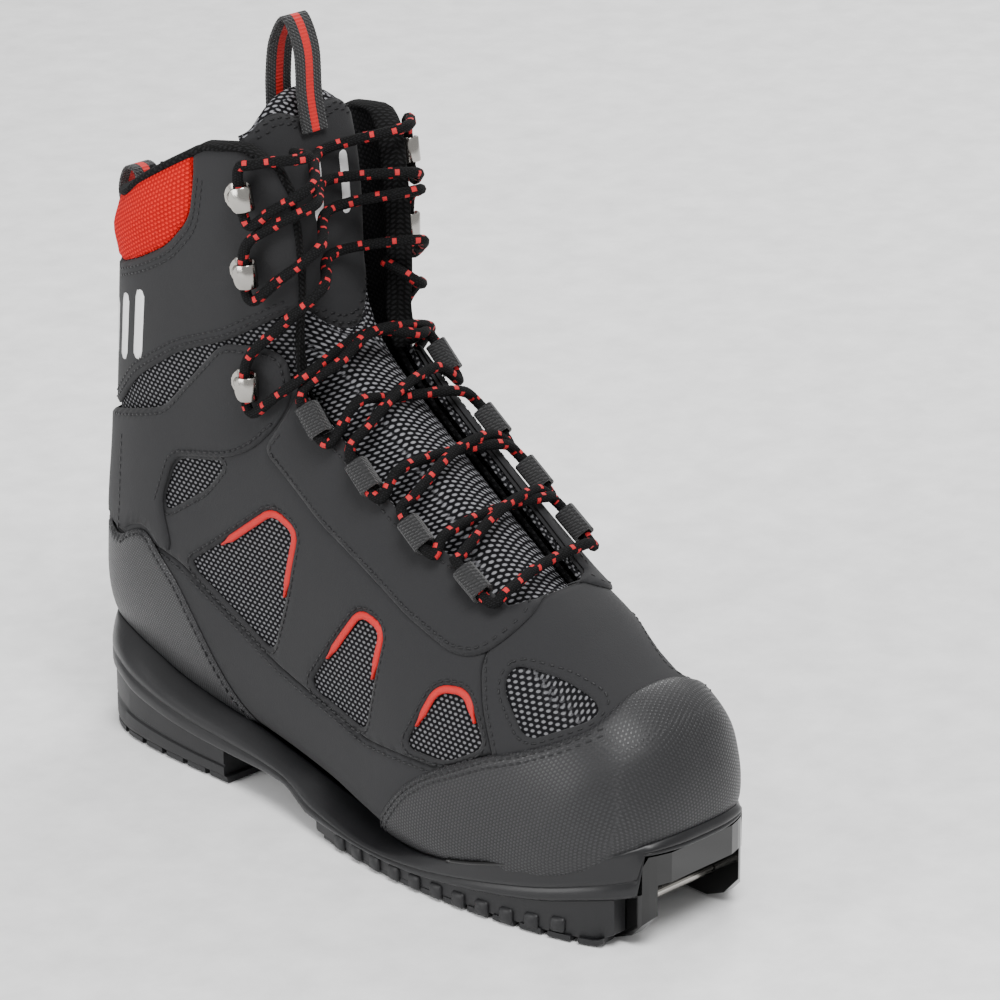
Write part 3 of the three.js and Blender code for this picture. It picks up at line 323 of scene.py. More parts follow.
def rounded(points, cut=3.0):
    """A closed outline with its corners rounded."""
    return soft_line(points, cut, closed=True)


def inside(outline, y, z):
    """How far points are inside an outline, in millimetres; negative outside."""
    outline = np.asarray(outline, float)
    nearest = np.full(y.shape, 1e9)
    odd = np.zeros(y.shape, bool)
    for (y0, z0), (y1, z1) in zip(outline, np.roll(outline, -1, axis=0)):
        dy, dz = y1 - y0, z1 - z0
        t = np.clip(((y - y0) * dy + (z - z0) * dz) / (dy * dy + dz * dz + 1e-12), 0, 1)
        nearest = np.minimum(nearest, np.hypot(y - y0 - t * dy, z - z0 - t * dz))
        if dz != 0:
            odd ^= ((z0 > z) != (z1 > z)) & (y < y0 + (z - z0) * dy / dz)
    return np.where(odd, nearest, -nearest)


def clip(points, triangles, value):
    """The part of a triangle mesh where value is positive, with its edge triangles cut."""
    good = value > 0
    count = good[triangles].sum(axis=1)
    crossing = triangles[(count == 1) | (count == 2)]
    flags = good[crossing]
    alone = flags.sum(axis=1) == 1
    odd = np.where(alone, flags.argmax(axis=1), (~flags).argmax(axis=1))
    a, b, c = np.take_along_axis(crossing, (odd[:, None] + np.arange(3)) % 3, axis=1).T
    edges = np.sort(np.concatenate([np.stack([a, b], 1), np.stack([a, c], 1)]), axis=1)
    edges, back = np.unique(edges, axis=0, return_inverse=True)
    v0, v1 = value[edges[:, 0]], value[edges[:, 1]]
    t = (v0 / (v0 - v1))[:, None]
    new = points[edges[:, 0]] * (1 - t) + points[edges[:, 1]] * t
    back = back.ravel() + len(points)
    ab, ac = back[:len(a)], back[len(a):]
    one = np.stack([a, ab, ac], 1)[alone]
    two = np.concatenate([np.stack([ab, b, c], 1)[~alone], np.stack([ab, c, ac], 1)[~alone]])
    points = np.concatenate([points, new])
    triangles = np.concatenate([triangles[count == 3], one, two])
    used, triangles = np.unique(triangles, return_inverse=True)
    return points[used], triangles.reshape(-1, 3)


def open_edges(triangles):
    """The directed edges that only one triangle has."""
    edges = np.concatenate([triangles[:, [0, 1]], triangles[:, [1, 2]], triangles[:, [2, 0]]])
    first, count = np.unique(np.sort(edges, axis=1), axis=0, return_index=True, return_counts=True)[1:]
    return edges[first[count == 1]]


ROWS = np.linspace(2, 22.9, 230)
TURNS = {
    "lateral": np.linspace(0.0006, 0.5, 110),
    "medial": np.linspace(0.5, 0.9994, 110),
    "both": np.linspace(0, 1, 220),
}


def throat_edge(place, side):
    return np.interp(place, THROAT[:, 0], THROAT[:, 1 if side == "lateral" else 2], left=0.5, right=0.313)


def beyond_throat(place, turn):
    """How far a point is outside the lacing opening, in millimetres."""
    lateral = (throat_edge(place, "lateral") - turn) * GIRTH
    medial = (turn - throat_edge(place, "medial")) * GIRTH
    beyond = np.where(turn <= 0.5, lateral, medial)
    return np.where(place < 10.4, 20.0, beyond)


ABOVE_COLLAR = [*COLLAR, (185, 330), (20, 330), (20, 262)]
EVERYWHERE = [(-185, 340), (-185, -30), (185, -30), (185, 340)]


def upper_piece(name, side, layer, regions, holes, material, replaces, edge=PANEL_EDGE, swell=0.0):
    """A panel of the upper, inside all regions and outside all holes, with a rolled edge."""
    points, triangles = sheet(ROWS, TURNS[side])

    def where(p):
        xyz = surface(p[:, 0], p[:, 1])
        return xyz[:, 0], xyz[:, 1], xyz[:, 2]

    feather = np.array(FEATHER_EDGE[::-1])
    tests = [lambda p: where(p)[2] - np.interp(where(p)[1], feather[:, 0], feather[:, 1]) + 5,
             lambda p: beyond_throat(p[:, 0], p[:, 1]),
             lambda p: -inside(ABOVE_COLLAR, where(p)[1], where(p)[2])]
    tests += [lambda p, r=region: inside(r, where(p)[1], where(p)[2]) for region in regions]
    tests += [lambda p, h=hole: -inside(h, where(p)[1], where(p)[2]) for hole in holes]
    for test in tests:
        points, triangles = clip(points, triangles, test(points))
    depth = np.min([test(points) for test in tests[1:]], axis=0)
    width, drop = edge
    inner, outer = layer
    height = outer - drop * (1 - np.clip(depth / width, 0, 1)) ** 2
    height = height + swell * smoothstep(depth, 0, 14)
    top = raised(points[:, 0], points[:, 1], height)
    rim = open_edges(triangles)
    ring, local = np.unique(rim, return_inverse=True)
    local = local.reshape(-1, 2) + len(points)
    bottom = raised(points[ring, 0], points[ring, 1], inner)
    walls = np.stack([rim[:, 1], rim[:, 0], local[:, 0], local[:, 1]], axis=1)
    faces = [*triangles.tolist(), *walls.tolist()]
    return piece(name, np.concatenate([top, bottom]), faces, material, replaces=replaces)


LOCATE_PLACES, LOCATE_TURNS = np.meshgrid(
    np.linspace(2, 22.9, 210), np.linspace(0.03, 0.5, 120), indexing="ij")


def locate(side, y, z):
    """The place and turn of the points of one side that lie at y, z."""
    turns = LOCATE_TURNS if side == "lateral" else 1 - LOCATE_TURNS
    cloud = surface(LOCATE_PLACES, turns)
    found = []
    for target in np.stack([y, z], axis=1):
        nearest = np.argmin(np.hypot(cloud[..., 1] - target[0], cloud[..., 2] - target[1]))
        at = np.array([LOCATE_PLACES.flat[nearest], turns.flat[nearest]])
        for _ in range(3):
            here = surface(*at)[1:]
            slope = np.stack([(surface(at[0] + 0.01, at[1])[1:] - here) / 0.01,
                              (surface(at[0], at[1] + 0.001)[1:] - here) / 0.001], axis=1)
            step = np.linalg.lstsq(slope, target - here, rcond=1e-3)[0]
            at = at + np.clip(step, (-0.2, -0.01), (0.2, 0.01))
            at[1] = np.clip(at[1], *((0.01, 0.5) if side == "lateral" else (0.5, 0.99)))
        found.append(at)
    return np.array(found)


def resample(path, step=None, count=None):
    """Evenly spaced points along a polyline, a step apart or of a given count."""
    path = np.asarray(path, float)
    length = np.concatenate([[0], np.cumsum(np.linalg.norm(np.diff(path, axis=0), axis=1))])
    if count is None:
        count = max(2, int(round(length[-1] / step)) + 1)
    at = np.linspace(0, length[-1], count)
    return np.stack([np.interp(at, length, path[:, k]) for k in range(path.shape[1])], axis=1)


def spline(points, per_step=8):
    """A smooth curve through points, by Catmull-Rom interpolation."""
    p = np.asarray(points, float)
    p = np.concatenate([[2 * p[0] - p[1]], p, [2 * p[-1] - p[-2]]])
    t = np.linspace(0, 1, per_step, endpoint=False)[:, None]
    runs = [catmull_rom(*four, t) for four in zip(p, p[1:], p[2:], p[3:])]
    return np.concatenate([*runs, [p[-2]]])


def unit(vectors):
    return vectors / (np.linalg.norm(vectors, axis=-1, keepdims=True) + 1e-12)


def tangents(path):
    return unit(np.gradient(path, axis=0))


def frames(path):
    """Two directions square to a path at each point, without twist."""
    along = tangents(path)
    first = unit(np.cross(along[0], [0.3, 0.2, 1.0]))
    sides = [first]
    for direction in along[1:]:
        first = unit(first - direction * np.dot(first, direction))
        sides.append(first)
    sides = np.array(sides)
    return sides, np.cross(along, sides)


def swept(path, out, half_width, half_height, sides=12):
    """A tube of oval section along a path. out is the direction of its half height at each point."""
    across = unit(np.cross(tangents(path), out))
    out = unit(np.cross(across, tangents(path)))
    angle = np.linspace(0, 2 * np.pi, sides, endpoint=False)
    width = np.broadcast_to(half_width, len(path))
    ring = (path[:, None] + across[:, None] * (np.cos(angle)[None] * width[:, None])[..., None]
            + out[:, None] * (np.sin(angle)[:, None] * half_height))
    return ring.reshape(-1, 3), tube_faces(len(path), sides)


def merged(parts):
    """Several lists of points and faces as one."""
    points, faces, start = [], [], 0
    for some, theirs in parts:
        points.append(some)
        faces += [[index + start for index in face] for face in theirs]
        start += len(some)
    return np.concatenate(points), faces


# ------------------------------------------------------------------ materials


class Finish:
    """A node material, with short names for the nodes that it is made of. Sizes are in metres."""

    def __init__(self, name, colour, roughness, metallic=0.0, specular=0.4, sheen=0.0, coat=0.0):
        self.material = bpy.data.materials.new(name)
        self.material.use_nodes = True
        self.material.diffuse_color = (*colour, 1)
        self.tree = self.material.node_tree
        self.shader = self.tree.nodes["Principled BSDF"]
        for key, value in (("Base Color", (*colour, 1)), ("Roughness", roughness), ("Metallic", metallic),
                           ("Specular IOR Level", specular), ("Sheen Weight", sheen), ("Coat Weight", coat)):
            self.shader.inputs[key].default_value = value
        self.coords = self.tree.nodes.new("ShaderNodeTexCoord")
        self.normal = None

    def put(self, socket, value):
        if isinstance(value, bpy.types.NodeSocket):
            self.tree.links.new(value, socket)
        else:
            socket.default_value = value

    def math(self, operation, *values):
        node = self.tree.nodes.new("ShaderNodeMath")
        node.operation = operation
        for socket, value in zip(node.inputs, values):
            self.put(socket, value)
        return node.outputs[0]

    def split(self, socket):
        node = self.tree.nodes.new("ShaderNodeSeparateXYZ")
        self.tree.links.new(socket, node.inputs[0])
        return node.outputs[0], node.outputs[1], node.outputs[2]

    def noise(self, scale, detail=3.0, roughness=0.6):
        node = self.tree.nodes.new("ShaderNodeTexNoise")
        self.tree.links.new(self.coords.outputs["Object"], node.inputs["Vector"])
        node.inputs["Scale"].default_value = scale
        node.inputs["Detail"].default_value = detail
        node.inputs["Roughness"].default_value = roughness
        return node.outputs["Fac"]

    def between(self, value, low, high, start=0.0, end=1.0):
        node = self.tree.nodes.new("ShaderNodeMapRange")
        node.interpolation_type = "SMOOTHSTEP"
        numbers = {"Value": value, "From Min": low, "From Max": high, "To Min": start, "To Max": end}
        for key, number in numbers.items():
            self.put(node.inputs[key], number)
        return node.outputs[0]

    def mixed(self, factor, first, second):
        node = self.tree.nodes.new("ShaderNodeMix")
        node.data_type = "RGBA"
        self.put(node.inputs["Factor"], factor)
        for key, colour in ((6, first), (7, second)):
            self.put(node.inputs[key], colour if isinstance(colour, bpy.types.NodeSocket) else (*colour, 1))
        return node.outputs[2]

    def paint(self, socket):
        self.tree.links.new(socket, self.shader.inputs["Base Color"])
        return self

    def gloss(self, value, low, high):
        self.tree.links.new(self.between(value, 0.0, 1.0, low, high), self.shader.inputs["Roughness"])
        return self

    def bump(self, height, distance, strength=1.0):
        node = self.tree.nodes.new("ShaderNodeBump")
        node.inputs["Distance"].default_value = distance
        node.inputs["Strength"].default_value = strength
        self.tree.links.new(height, node.inputs["Height"])
        if self.normal:
            self.tree.links.new(self.normal, node.inputs["Normal"])
        self.normal = node.outputs["Normal"]
        self.tree.links.new(self.normal, self.shader.inputs["Normal"])
        return self

    def ovals(self, a, b, pitch, size, lean=0.0):
        """Staggered rows of ovals, 1 in the middle of each and 0 between them, on axes turned by lean."""
        sine, cosine = math.sin(lean), math.cos(lean)
        turned_a = self.math("SUBTRACT", self.math("MULTIPLY", a, cosine), self.math("MULTIPLY", b, sine))
        turned_b = self.math("ADD", self.math("MULTIPLY", a, sine), self.math("MULTIPLY", b, cosine))
        row = self.math("DIVIDE", turned_b, pitch[1])
        shift = self.math("MULTIPLY", self.math("FLOORED_MODULO", self.math("FLOOR", row), 2.0), 0.5)
        column = self.math("ADD", self.math("DIVIDE", turned_a, pitch[0]), shift)
        near = []
        for value, half in ((column, size[0]), (row, size[1])):
            offset = self.math("SUBTRACT", self.math("FRACT", value), 0.5)
            near.append(self.math("POWER", self.math("DIVIDE", offset, half), 2.0))
        return self.between(self.math("ADD", *near), 1.15, 0.35)

    def on_every_side(self, pattern):
        """A flat pattern seen from the side, front and top, blended by the way the surface faces."""
        x, y, z = self.split(self.coords.outputs["Object"])
        facing = self.split(self.coords.outputs["Normal"])
        weights = [self.math("POWER", self.math("ABSOLUTE", part), 20.0) for part in facing]
        values = [pattern(y, z), pattern(x, z), pattern(x, y)]
        shares = [self.math("MULTIPLY", weight, value) for weight, value in zip(weights, values)]
        total = self.math("ADD", self.math("ADD", weights[0], weights[1]), weights[2])
        return self.math("DIVIDE", self.math("ADD", self.math("ADD", shares[0], shares[1]), shares[2]), total)


def nubuck_finish():
    finish = Finish("nubuck", (0.02, 0.02, 0.022), 0.85, sheen=0.06, specular=0.28)
    clouds = finish.noise(35, 4)
    grain = finish.noise(1500, 2)
    finish.paint(finish.mixed(clouds, (0.0125, 0.0125, 0.0135), (0.0205, 0.0205, 0.022)))
    return finish.gloss(clouds, 0.72, 0.92).bump(grain, 0.00012, 0.6).bump(clouds, 0.0015, 0.15).material


def emboss_finish(name, pitch, size, lean, depth):
    finish = Finish(name, (0.02, 0.02, 0.022), 0.45, specular=0.5)
    dots = finish.on_every_side(lambda a, b: finish.ovals(a, b, pitch, size, lean))
    finish.paint(finish.mixed(dots, (0.007, 0.007, 0.008), (0.02, 0.02, 0.022)))
    return finish.gloss(dots, 0.55, 0.32).bump(dots, depth).bump(finish.noise(60), 0.001, 0.15).material


def mesh_finish(name, dark, light, pitch, size, lean=0.0, depth=0.0005):
    finish = Finish(name, light, 0.9, specular=0.15)
    yarn = finish.on_every_side(lambda a, b: finish.ovals(a, b, pitch, size, lean))
    fibre = finish.noise(2500, 2)
    lit = finish.mixed(fibre, tuple(0.6 * c for c in light), light)
    return finish.paint(finish.mixed(yarn, dark, lit)).bump(yarn, depth).bump(fibre, 0.0001, 0.5).material


def plain_finish(name, colour, roughness, grain=1200, depth=0.0001, **more):
    finish = Finish(name, colour, roughness, **more)
    clouds = finish.noise(45, 3)
    darker = tuple(0.8 * c for c in colour)
    finish.paint(finish.mixed(clouds, darker, tuple(1.15 * c for c in colour)))
    finish.gloss(clouds, max(0.03, roughness - 0.06), roughness + 0.06)
    return finish.bump(finish.noise(grain, 2), depth, 0.5).material


def webbing_finish():
    finish = Finish("webbing", (0.012, 0.012, 0.013), 0.75, sheen=0.2)
    ribs = finish.on_every_side(lambda a, b: finish.ovals(a, b, (0.0016, 0.0011), (0.5, 0.36), 0.6))
    finish.paint(finish.mixed(ribs, (0.003, 0.003, 0.0035), (0.015, 0.015, 0.016)))
    return finish.bump(ribs, 0.00025).material


NUBUCK = nubuck_finish()
CAP = emboss_finish("cap_emboss", (0.00175, 0.00115), (0.3, 0.36), 0.5, 0.00025)
COUNTER = emboss_finish("counter_emboss", (0.0013, 0.001), (0.36, 0.38), 0.9, 0.00012)
MESH_CLOTH = mesh_finish("two_tone_mesh", (0.004, 0.004, 0.005), (0.19, 0.19, 0.2),
                         (0.0026, 0.0017), (0.36, 0.36))
TONGUE_CLOTH = mesh_finish("tongue_mesh_cloth", (0.004, 0.004, 0.005), (0.3, 0.3, 0.32),
                           (0.0031, 0.0016), (0.4, 0.33), 0.45)
LINING_CLOTH = mesh_finish("lining_cloth", (0.003, 0.003, 0.0035), (0.014, 0.014, 0.015),
                           (0.0024, 0.0018), (0.36, 0.36))
RED_CLOTH = mesh_finish("red_mesh", (0.42, 0.002, 0.002), (0.9, 0.02, 0.014),
                        (0.0022, 0.0015), (0.42, 0.4), 0.5, 0.0004)
RED_TRIM = plain_finish("red_trim", (0.5, 0.009, 0.008), 0.6)
WEBBING = webbing_finish()
BRAID = mesh_finish("braid", (0.003, 0.003, 0.003), (0.016, 0.016, 0.017),
                    (0.0028, 0.0014), (0.42, 0.36), 0.8, 0.0004)
LACE_BLACK = mesh_finish("lace_black", (0.003, 0.003, 0.003), (0.012, 0.012, 0.013),
                         (0.0012, 0.0008), (0.4, 0.4), 0.6, 0.0002)
LACE_RED = plain_finish("lace_red", (0.5, 0.012, 0.016), 0.7, 2500, 0.0002)
THREAD = plain_finish("thread", (0.006, 0.006, 0.007), 0.5, specular=0.4)
RUBBER = plain_finish("sole_rubber", (0.008, 0.008, 0.009), 0.38, 900, 0.00008)
TREAD = plain_finish("tread_rubber", (0.007, 0.007, 0.008), 0.5, 900, 0.0001)
GLOSS = plain_finish("gloss_insert", (0.003, 0.003, 0.003), 0.12, 60, 0.00005, specular=0.5)
NICKEL = plain_finish("nickel", (0.36, 0.345, 0.32), 0.2, 700, 0.00004, metallic=1.0)
BOARD = plain_finish("board", (0.2, 0.16, 0.11), 0.8)
WHITE = plain_finish("white_print", (0.8, 0.8, 0.8), 0.5)

# ------------------------------------------------------------------ the upper

def grown(line, distance):
    """An open line moved to its right."""
    line = np.asarray(line, float)
    direction = unit(np.gradient(line, axis=0))
    return line + distance * np.stack([direction[:, 1], -direction[:, 0]], axis=1)


def region(line, *far):
    """The outline that a soft line closes by way of far corners."""
    return [*soft_line(line), *far]


def vamp_region(gap):
    return [*grown(soft_line(VAMP_REAR), -gap), (-180, -10), (-180, 135)]


def mudguard_region(side, gap):
    line = soft_line([(180, 80), (100, 88), *MUDGUARD_EDGE[side], (-110, 74)])
    return [*grown(line, gap), (-110, -20), (180, -20)]


def pad_region(gap):
    return [*grown(soft_line(PAD_EDGE), gap), (180, 192), (180, 330), (67, 330)]


def side_windows(side):
    return [rounded(outline) for outline in WINDOWS[side].values()]


def build_upper():
    upper_piece("upper_mesh", "both", MESH, [EVERYWHERE], [], MESH_CLOTH,
                ["mesh_vamp", "mesh_quarter", "mesh_cuff"])
    upper_piece("vamp_panel", "both", PANEL, [vamp_region(0)], [rounded(VAMP_WINDOW)], NUBUCK,
                ["vamp"])
    pad = upper_piece("red_collar_pad", "both", (-1.6, 0.0), [pad_region(0)], [], RED_CLOTH,
                      ["collar_pad"], edge=(2.5, 1.4), swell=2.4)
    for side in SIDES:
        below_cuff = region(QUARTER_TOP, (-140, 180), (-140, -20), (180, -20))
        above_cuff_edge = region(CUFF_EDGE, (-20, 215), (-20, 330), (180, 330))
        eyestay = region(EYESTAY_EDGE[side], (-90, 135), (-40, 180), (0, 200))
        cuts = [vamp_region(PANEL_GAP), mudguard_region(side, PANEL_GAP), *side_windows(side)]
        for name, layer, area, holes, replaces, edge in (
                ("quarter_panel", PANEL, below_cuff, cuts, "quarter", PANEL_EDGE),
                ("mudguard_panel", PANEL, mudguard_region(side, 0), cuts[:1], "mudguard", PANEL_EDGE),
                ("cuff_panel", PANEL, above_cuff_edge, [pad_region(0.3)], "cuff", PANEL_EDGE),
                ("eyestay_cover", OVERLAY, eyestay, [], "eyestay", OVERLAY_EDGE),
                ("ankle_cover", OVERLAY, rounded(ANKLE_PANEL), [], "ankle_panel", OVERLAY_EDGE)):
            upper_piece(f"{name}_{side}", side, layer, [area], holes, NUBUCK,
                        [f"{replaces}_{side}"], edge)
    for name, outline, material in (("toe_cap", TOE_CAP, CAP), ("heel_counter", HEEL_COUNTER, COUNTER)):
        upper_piece(f"{name}_cover", "both", OVERLAY, [rounded(outline)], [], material,
                    [name], OVERLAY_EDGE)
    # The lining shows its face toward the foot, so its layer is turned over.
    upper_piece("lining_cover", "both", LINING[::-1], [EVERYWHERE], [], LINING_CLOTH, ["lining"],
                edge=(1, 0))


def on_surface(side, line, height, step=1.5):
    """A line drawn from the side, laid on the surface of one side, with the outward direction along it."""
    line = resample(line, step)
    at = locate(side, line[:, 0], line[:, 1])
    return raised(at[:, 0], at[:, 1], height), outward(at[:, 0], at[:, 1])


def build_trims():
    for side, windows in TRIMMED.items():
        for name, (first, last) in windows.items():
            outline = np.array(WINDOWS[side][name], float)
            line = resample(soft_line(outline[first:last + 1]), 1.2)
            centre = outline.mean(axis=0)
            normal = unit(grown(line, 1) - line)
            inward = np.sign(np.sum(normal * (centre - line)))
            line = line + 0.9 * inward * normal
            path, out = on_surface(side, line, -0.9, 1.2)
            taper = np.clip(np.minimum(np.arange(len(path)), np.arange(len(path))[::-1]) / 5, 0.35, 1)
            points, faces = swept(path, out, 1.5 * taper, 0.95)
            piece(f"red_trim_{side}_{name}", points, faces, RED_TRIM,
                  replaces=[f"window_trim_{side}_{name}"])


def rim_path(side):
    """Up the front edge of the cuff and along the collar, as place and turn."""
    place = np.linspace(15.9, 22.0, 60)
    front = np.stack([place, throat_edge(place, side)], axis=1)
    line = resample(soft_line([(62.5, 255.6), *COLLAR[2:6], (146, 219.6)]), 2)
    back = locate(side, line[:, 0], line[:, 1])
    return front, back[back[:, 1] > 0.005] if side == "lateral" else back[back[:, 1] < 0.995]


def build_rims():
    for side in SIDES:
        front, back = rim_path(side)
        for name, run, width, height, replaces in (
                (f"binding_{side}", np.concatenate([front, back[:4]]), 1.7, 4.9, [f"collar_binding_{side}"]),
                (f"collar_rim_{side}", back[3:], 1.9, 4.6, [])):
            path = raised(run[:, 0], run[:, 1], -3.8)
            points, faces = swept(path, outward(run[:, 0], run[:, 1]), width, height, 14)
            piece(name, points, faces, BRAID if replaces else LINING_CLOTH, replaces=replaces)


# ------------------------------------------------------------------ stitching


def stitch_row(side, line, height, inset=0.0):
    """Short raised threads along a line drawn from the side."""
    line = resample(grown(resample(line, 1.0), inset), STITCH_PITCH)
    at = locate(side, line[:, 0], line[:, 1])
    return stitches(at, height)


def stitches(at, height):
    """A thread at each place and turn, along the row that they make."""
    middle = raised(at[:, 0], at[:, 1], height)
    out = outward(at[:, 0], at[:, 1])
    along = tangents(middle)
    across = unit(np.cross(out, along))
    angle = np.linspace(0, 2 * np.pi, 6, endpoint=False)
    parts = []
    for centre, forward, side_way, up in zip(middle, along, across, out):
        ring = [centre + forward * (share * STITCH_PITCH) + up * lift
                + side_way * (radius * 1.25 * math.cos(a)) + up * (radius * math.sin(a))
                for share, radius, lift in STITCH for a in angle]
        parts.append((np.array(ring), tube_faces(len(STITCH), len(angle))))
    return parts


def around(outline, distance):
    """A closed line round an outline, at a distance outside it."""
    ring = rounded(outline)
    after = np.roll(ring, -1, axis=0)
    if np.sum(ring[:, 0] * after[:, 1] - after[:, 0] * ring[:, 1]) < 0:
        ring = ring[::-1]
    return grown(resample([*ring, ring[0]], 1.0), distance)


def build_stitching():
    panel = PANEL[1] + 0.05
    overlay = OVERLAY[1] + 0.05
    for side in SIDES:
        rows = []
        for outline, height, insets in (
                (soft_line(EYESTAY_EDGE[side][3:]), overlay, (2.2,)),
                (soft_line(CUFF_EDGE[1:7]), panel, (2.2, 4.6)),
                (soft_line(PAD_EDGE[1:6]), panel, (3.0, 5.4)),
                (soft_line(TOE_CAP[2:10]), overlay, (-2.0, -4.2)),
                (soft_line(HEEL_COUNTER[1:9]), overlay, (2.0,)),
                (soft_line(ANKLE_PANEL[2:8]), overlay, (-2.2,)),
                (soft_line(ANKLE_PANEL[9:14]), overlay, (-2.2,)),
                (soft_line([(119, 127), (121, 108), (123.4, 89)]), overlay, (0,)),
                (soft_line([(104, 90), *MUDGUARD_EDGE[side]]), panel, (-2.0,)),
                (soft_line(VAMP_REAR[1:4]), panel, (2.0,))):
            for inset in insets:
                rows += stitch_row(side, outline, height, inset)
        for outline in (*WINDOWS[side].values(), VAMP_WINDOW):
            rows += stitch_row(side, around(outline, 2.0), panel)
        place = np.linspace(10.9, 15.6, 34)
        margin = -0.009 if side == "lateral" else 0.009
        rows += stitches(np.stack([place, throat_edge(place, side) + margin], axis=1), overlay)
        points, faces = merged(rows)
        piece(f"stitching_{side}", points, faces, THREAD)


def build_marks():
    """Plain printed bars on the cuff and the tongue."""
    for side in SIDES:
        for i, (y, low, high) in enumerate(((131, 156, 180), (119, 158, 186), (107, 162, 191))):
            bar = rounded([(y - 3, low), (y + 3, low), (y - 1.5, high), (y - 7.5, high)], 1.5)
            upper_piece(f"cuff_bar_{side}_{i + 1}", side, PRINT, [bar], [], WHITE, [], (0.3, 0.05))
    for i, x in enumerate((-3, 11)):
        bar = rounded([(x - 2.4, 224), (x + 2, 224), (x + 4, 247), (x - 0.4, 247)], 1.5)
        tongue_sheet(f"tongue_bar_{i + 1}", TONGUE["skin"] + 0.12, 0.1,
                     lambda a, b, bar=bar: inside(bar, a, b), WHITE, [], low=18, edge=0.05)


# ------------------------------------------------------------------ tongue


def tongue_sheet(name, height, thickness, keep, material, replaces, low=TONGUE["from"], edge=1.5):
    """A layer of the tongue where keep, a function of x and z, is positive."""
    high = TONGUE["to"]
    points, triangles = sheet(np.linspace(low, high, 150), np.linspace(-1, 1, 64))

    def distance(p):
        xyz = tongue_point(p[:, 0], p[:, 1], height)
        return keep(xyz[:, 0], xyz[:, 2])

    points, triangles = clip(points, triangles, distance(points))
    depth = np.minimum(distance(points), (1 - np.abs(points[:, 1])) * 30)
    depth = np.minimum(depth, (high - points[:, 0]) * 12)
    drop = edge * (1 - np.clip(depth / (1.3 * edge), 0, 1)) ** 2
    top = tongue_point(points[:, 0], points[:, 1], height - drop)
    bottom = tongue_point(points[:, 0], points[:, 1], height - thickness + drop * (thickness > 2))
    rim = open_edges(triangles)
    walls = np.stack([rim[:, 1], rim[:, 0], rim[:, 0] + len(points), rim[:, 1] + len(points)], axis=1)
    faces = [*triangles.tolist(), *(triangles[:, ::-1] + len(points)).tolist(), *walls.tolist()]
    return piece(name, np.concatenate([top, bottom]), faces, material, "tongue", replaces)


def top_edge(x):
    """The top of the tongue's cover: a scoop in the middle, and rounded off toward the sides."""
    shoulder = TONGUE_TOP["shoulder"]
    rise = TONGUE_TOP["rise"] * (1 - np.cos(np.clip(np.abs(x) / shoulder, 0, 1) * np.pi)) / 2
    return TONGUE_TOP["height"] + rise - 0.05 * np.maximum(np.abs(x) - shoulder, 0) ** 2


def build_tongue():
    tip = spline(TONGUE_TIP, 6)

    def below_top(x, z):
        return top_edge(x) - z

    def above_tip(x, z):
        return z - np.interp(x, tip[:, 0], tip[:, 1])

    def below_pad_top(x, z):
        return 272 - 0.019 * (x - 1) ** 2 - z

    skin = TONGUE["skin"]
    tongue_sheet("tongue_front", skin, 1.1, lambda x, z: np.minimum(above_tip(x, z), below_top(x, z)),
                 NUBUCK, ["tongue_cover"])
    tongue_sheet("tongue_gusset", skin - 0.3, 0.8, lambda x, z: -above_tip(x, z),
                 TONGUE_CLOTH, ["tongue_mesh"])
    pad = tongue_sheet("tongue_padding", skin - 1.4, 6.4, below_pad_top, TONGUE_CLOTH,
                       ["tongue_pad"], edge=2.8)
    rows = []
    for lift in (2.0, 4.4):
        x = np.arange(-22, 22.5, STITCH_PITCH)
        rows += tongue_stitches(x, np.interp(x, tip[:, 0], tip[:, 1]) + lift)
        rows += tongue_stitches(x, top_edge(x) - lift)
    points, faces = merged(rows)
    piece("tongue_stitching", points, faces, THREAD, "tongue")


def tongue_stitches(x, z):
    """Threads on the tongue's front at x, z."""
    places, sides = np.meshgrid(np.linspace(15, 22.4, 160), np.linspace(-1, 1, 60), indexing="ij")
    cloud = tongue_point(places, sides, TONGUE["skin"] + 0.05)
    parts = []
    for a, b in zip(x, z):
        nearest = np.argmin(np.hypot(cloud[..., 0] - a, cloud[..., 2] - b))
        centre = cloud.reshape(-1, 3)[nearest]
        box = np.array([(-1.1, 0, -0.3), (1.1, 0, -0.3), (1.1, 0, 0.3), (-1.1, 0, 0.3),
                        (-0.8, -0.35, -0.18), (0.8, -0.35, -0.18), (0.8, -0.35, 0.18), (-0.8, -0.35, 0.18)])
        parts.append((box + centre, [[0, 1, 5, 4], [1, 2, 6, 5], [2, 3, 7, 6], [3, 0, 4, 7], [4, 5, 6, 7]]))
    return parts


# ------------------------------------------------------------------ straps


def strap(name, path, half_width, thickness, body, replaces):
    """Ribbed webbing with a red stripe down its middle, bent along a path seen from the side."""
    line = resample(spline(path, 12), 0.7)
    inner = grown(line, thickness)
    inward = unit(inner - line)
    wave = np.where(np.arange(len(line)) % 2, 0.0, 0.16)[:, None]
    stations = [(-1, 0.16), (-0.94, 0), (-0.3, 0), (0.3, 0), (0.94, 0), (1, 0.16)]
    loop = [(x, line + inward * (wave + sink)) for x, sink in stations]
    loop += [(x, inner - inward * (wave + sink)) for x, sink in stations[::-1]]
    points = np.stack([np.insert(yz, 0, x * half_width, axis=1) for x, yz in loop], axis=1)
    count = len(loop)
    faces = tube_faces(len(line), count)
    striped = [int(index % count in (2, 8)) for index in range(len(faces) - 2)]
    piece(name, points.reshape(-1, 3), faces, [WEBBING, RED_TRIM], body, replaces,
          [*striped, 0, 0], flat=True)


# ------------------------------------------------------------------ sole


SOLE_ROWS = 130


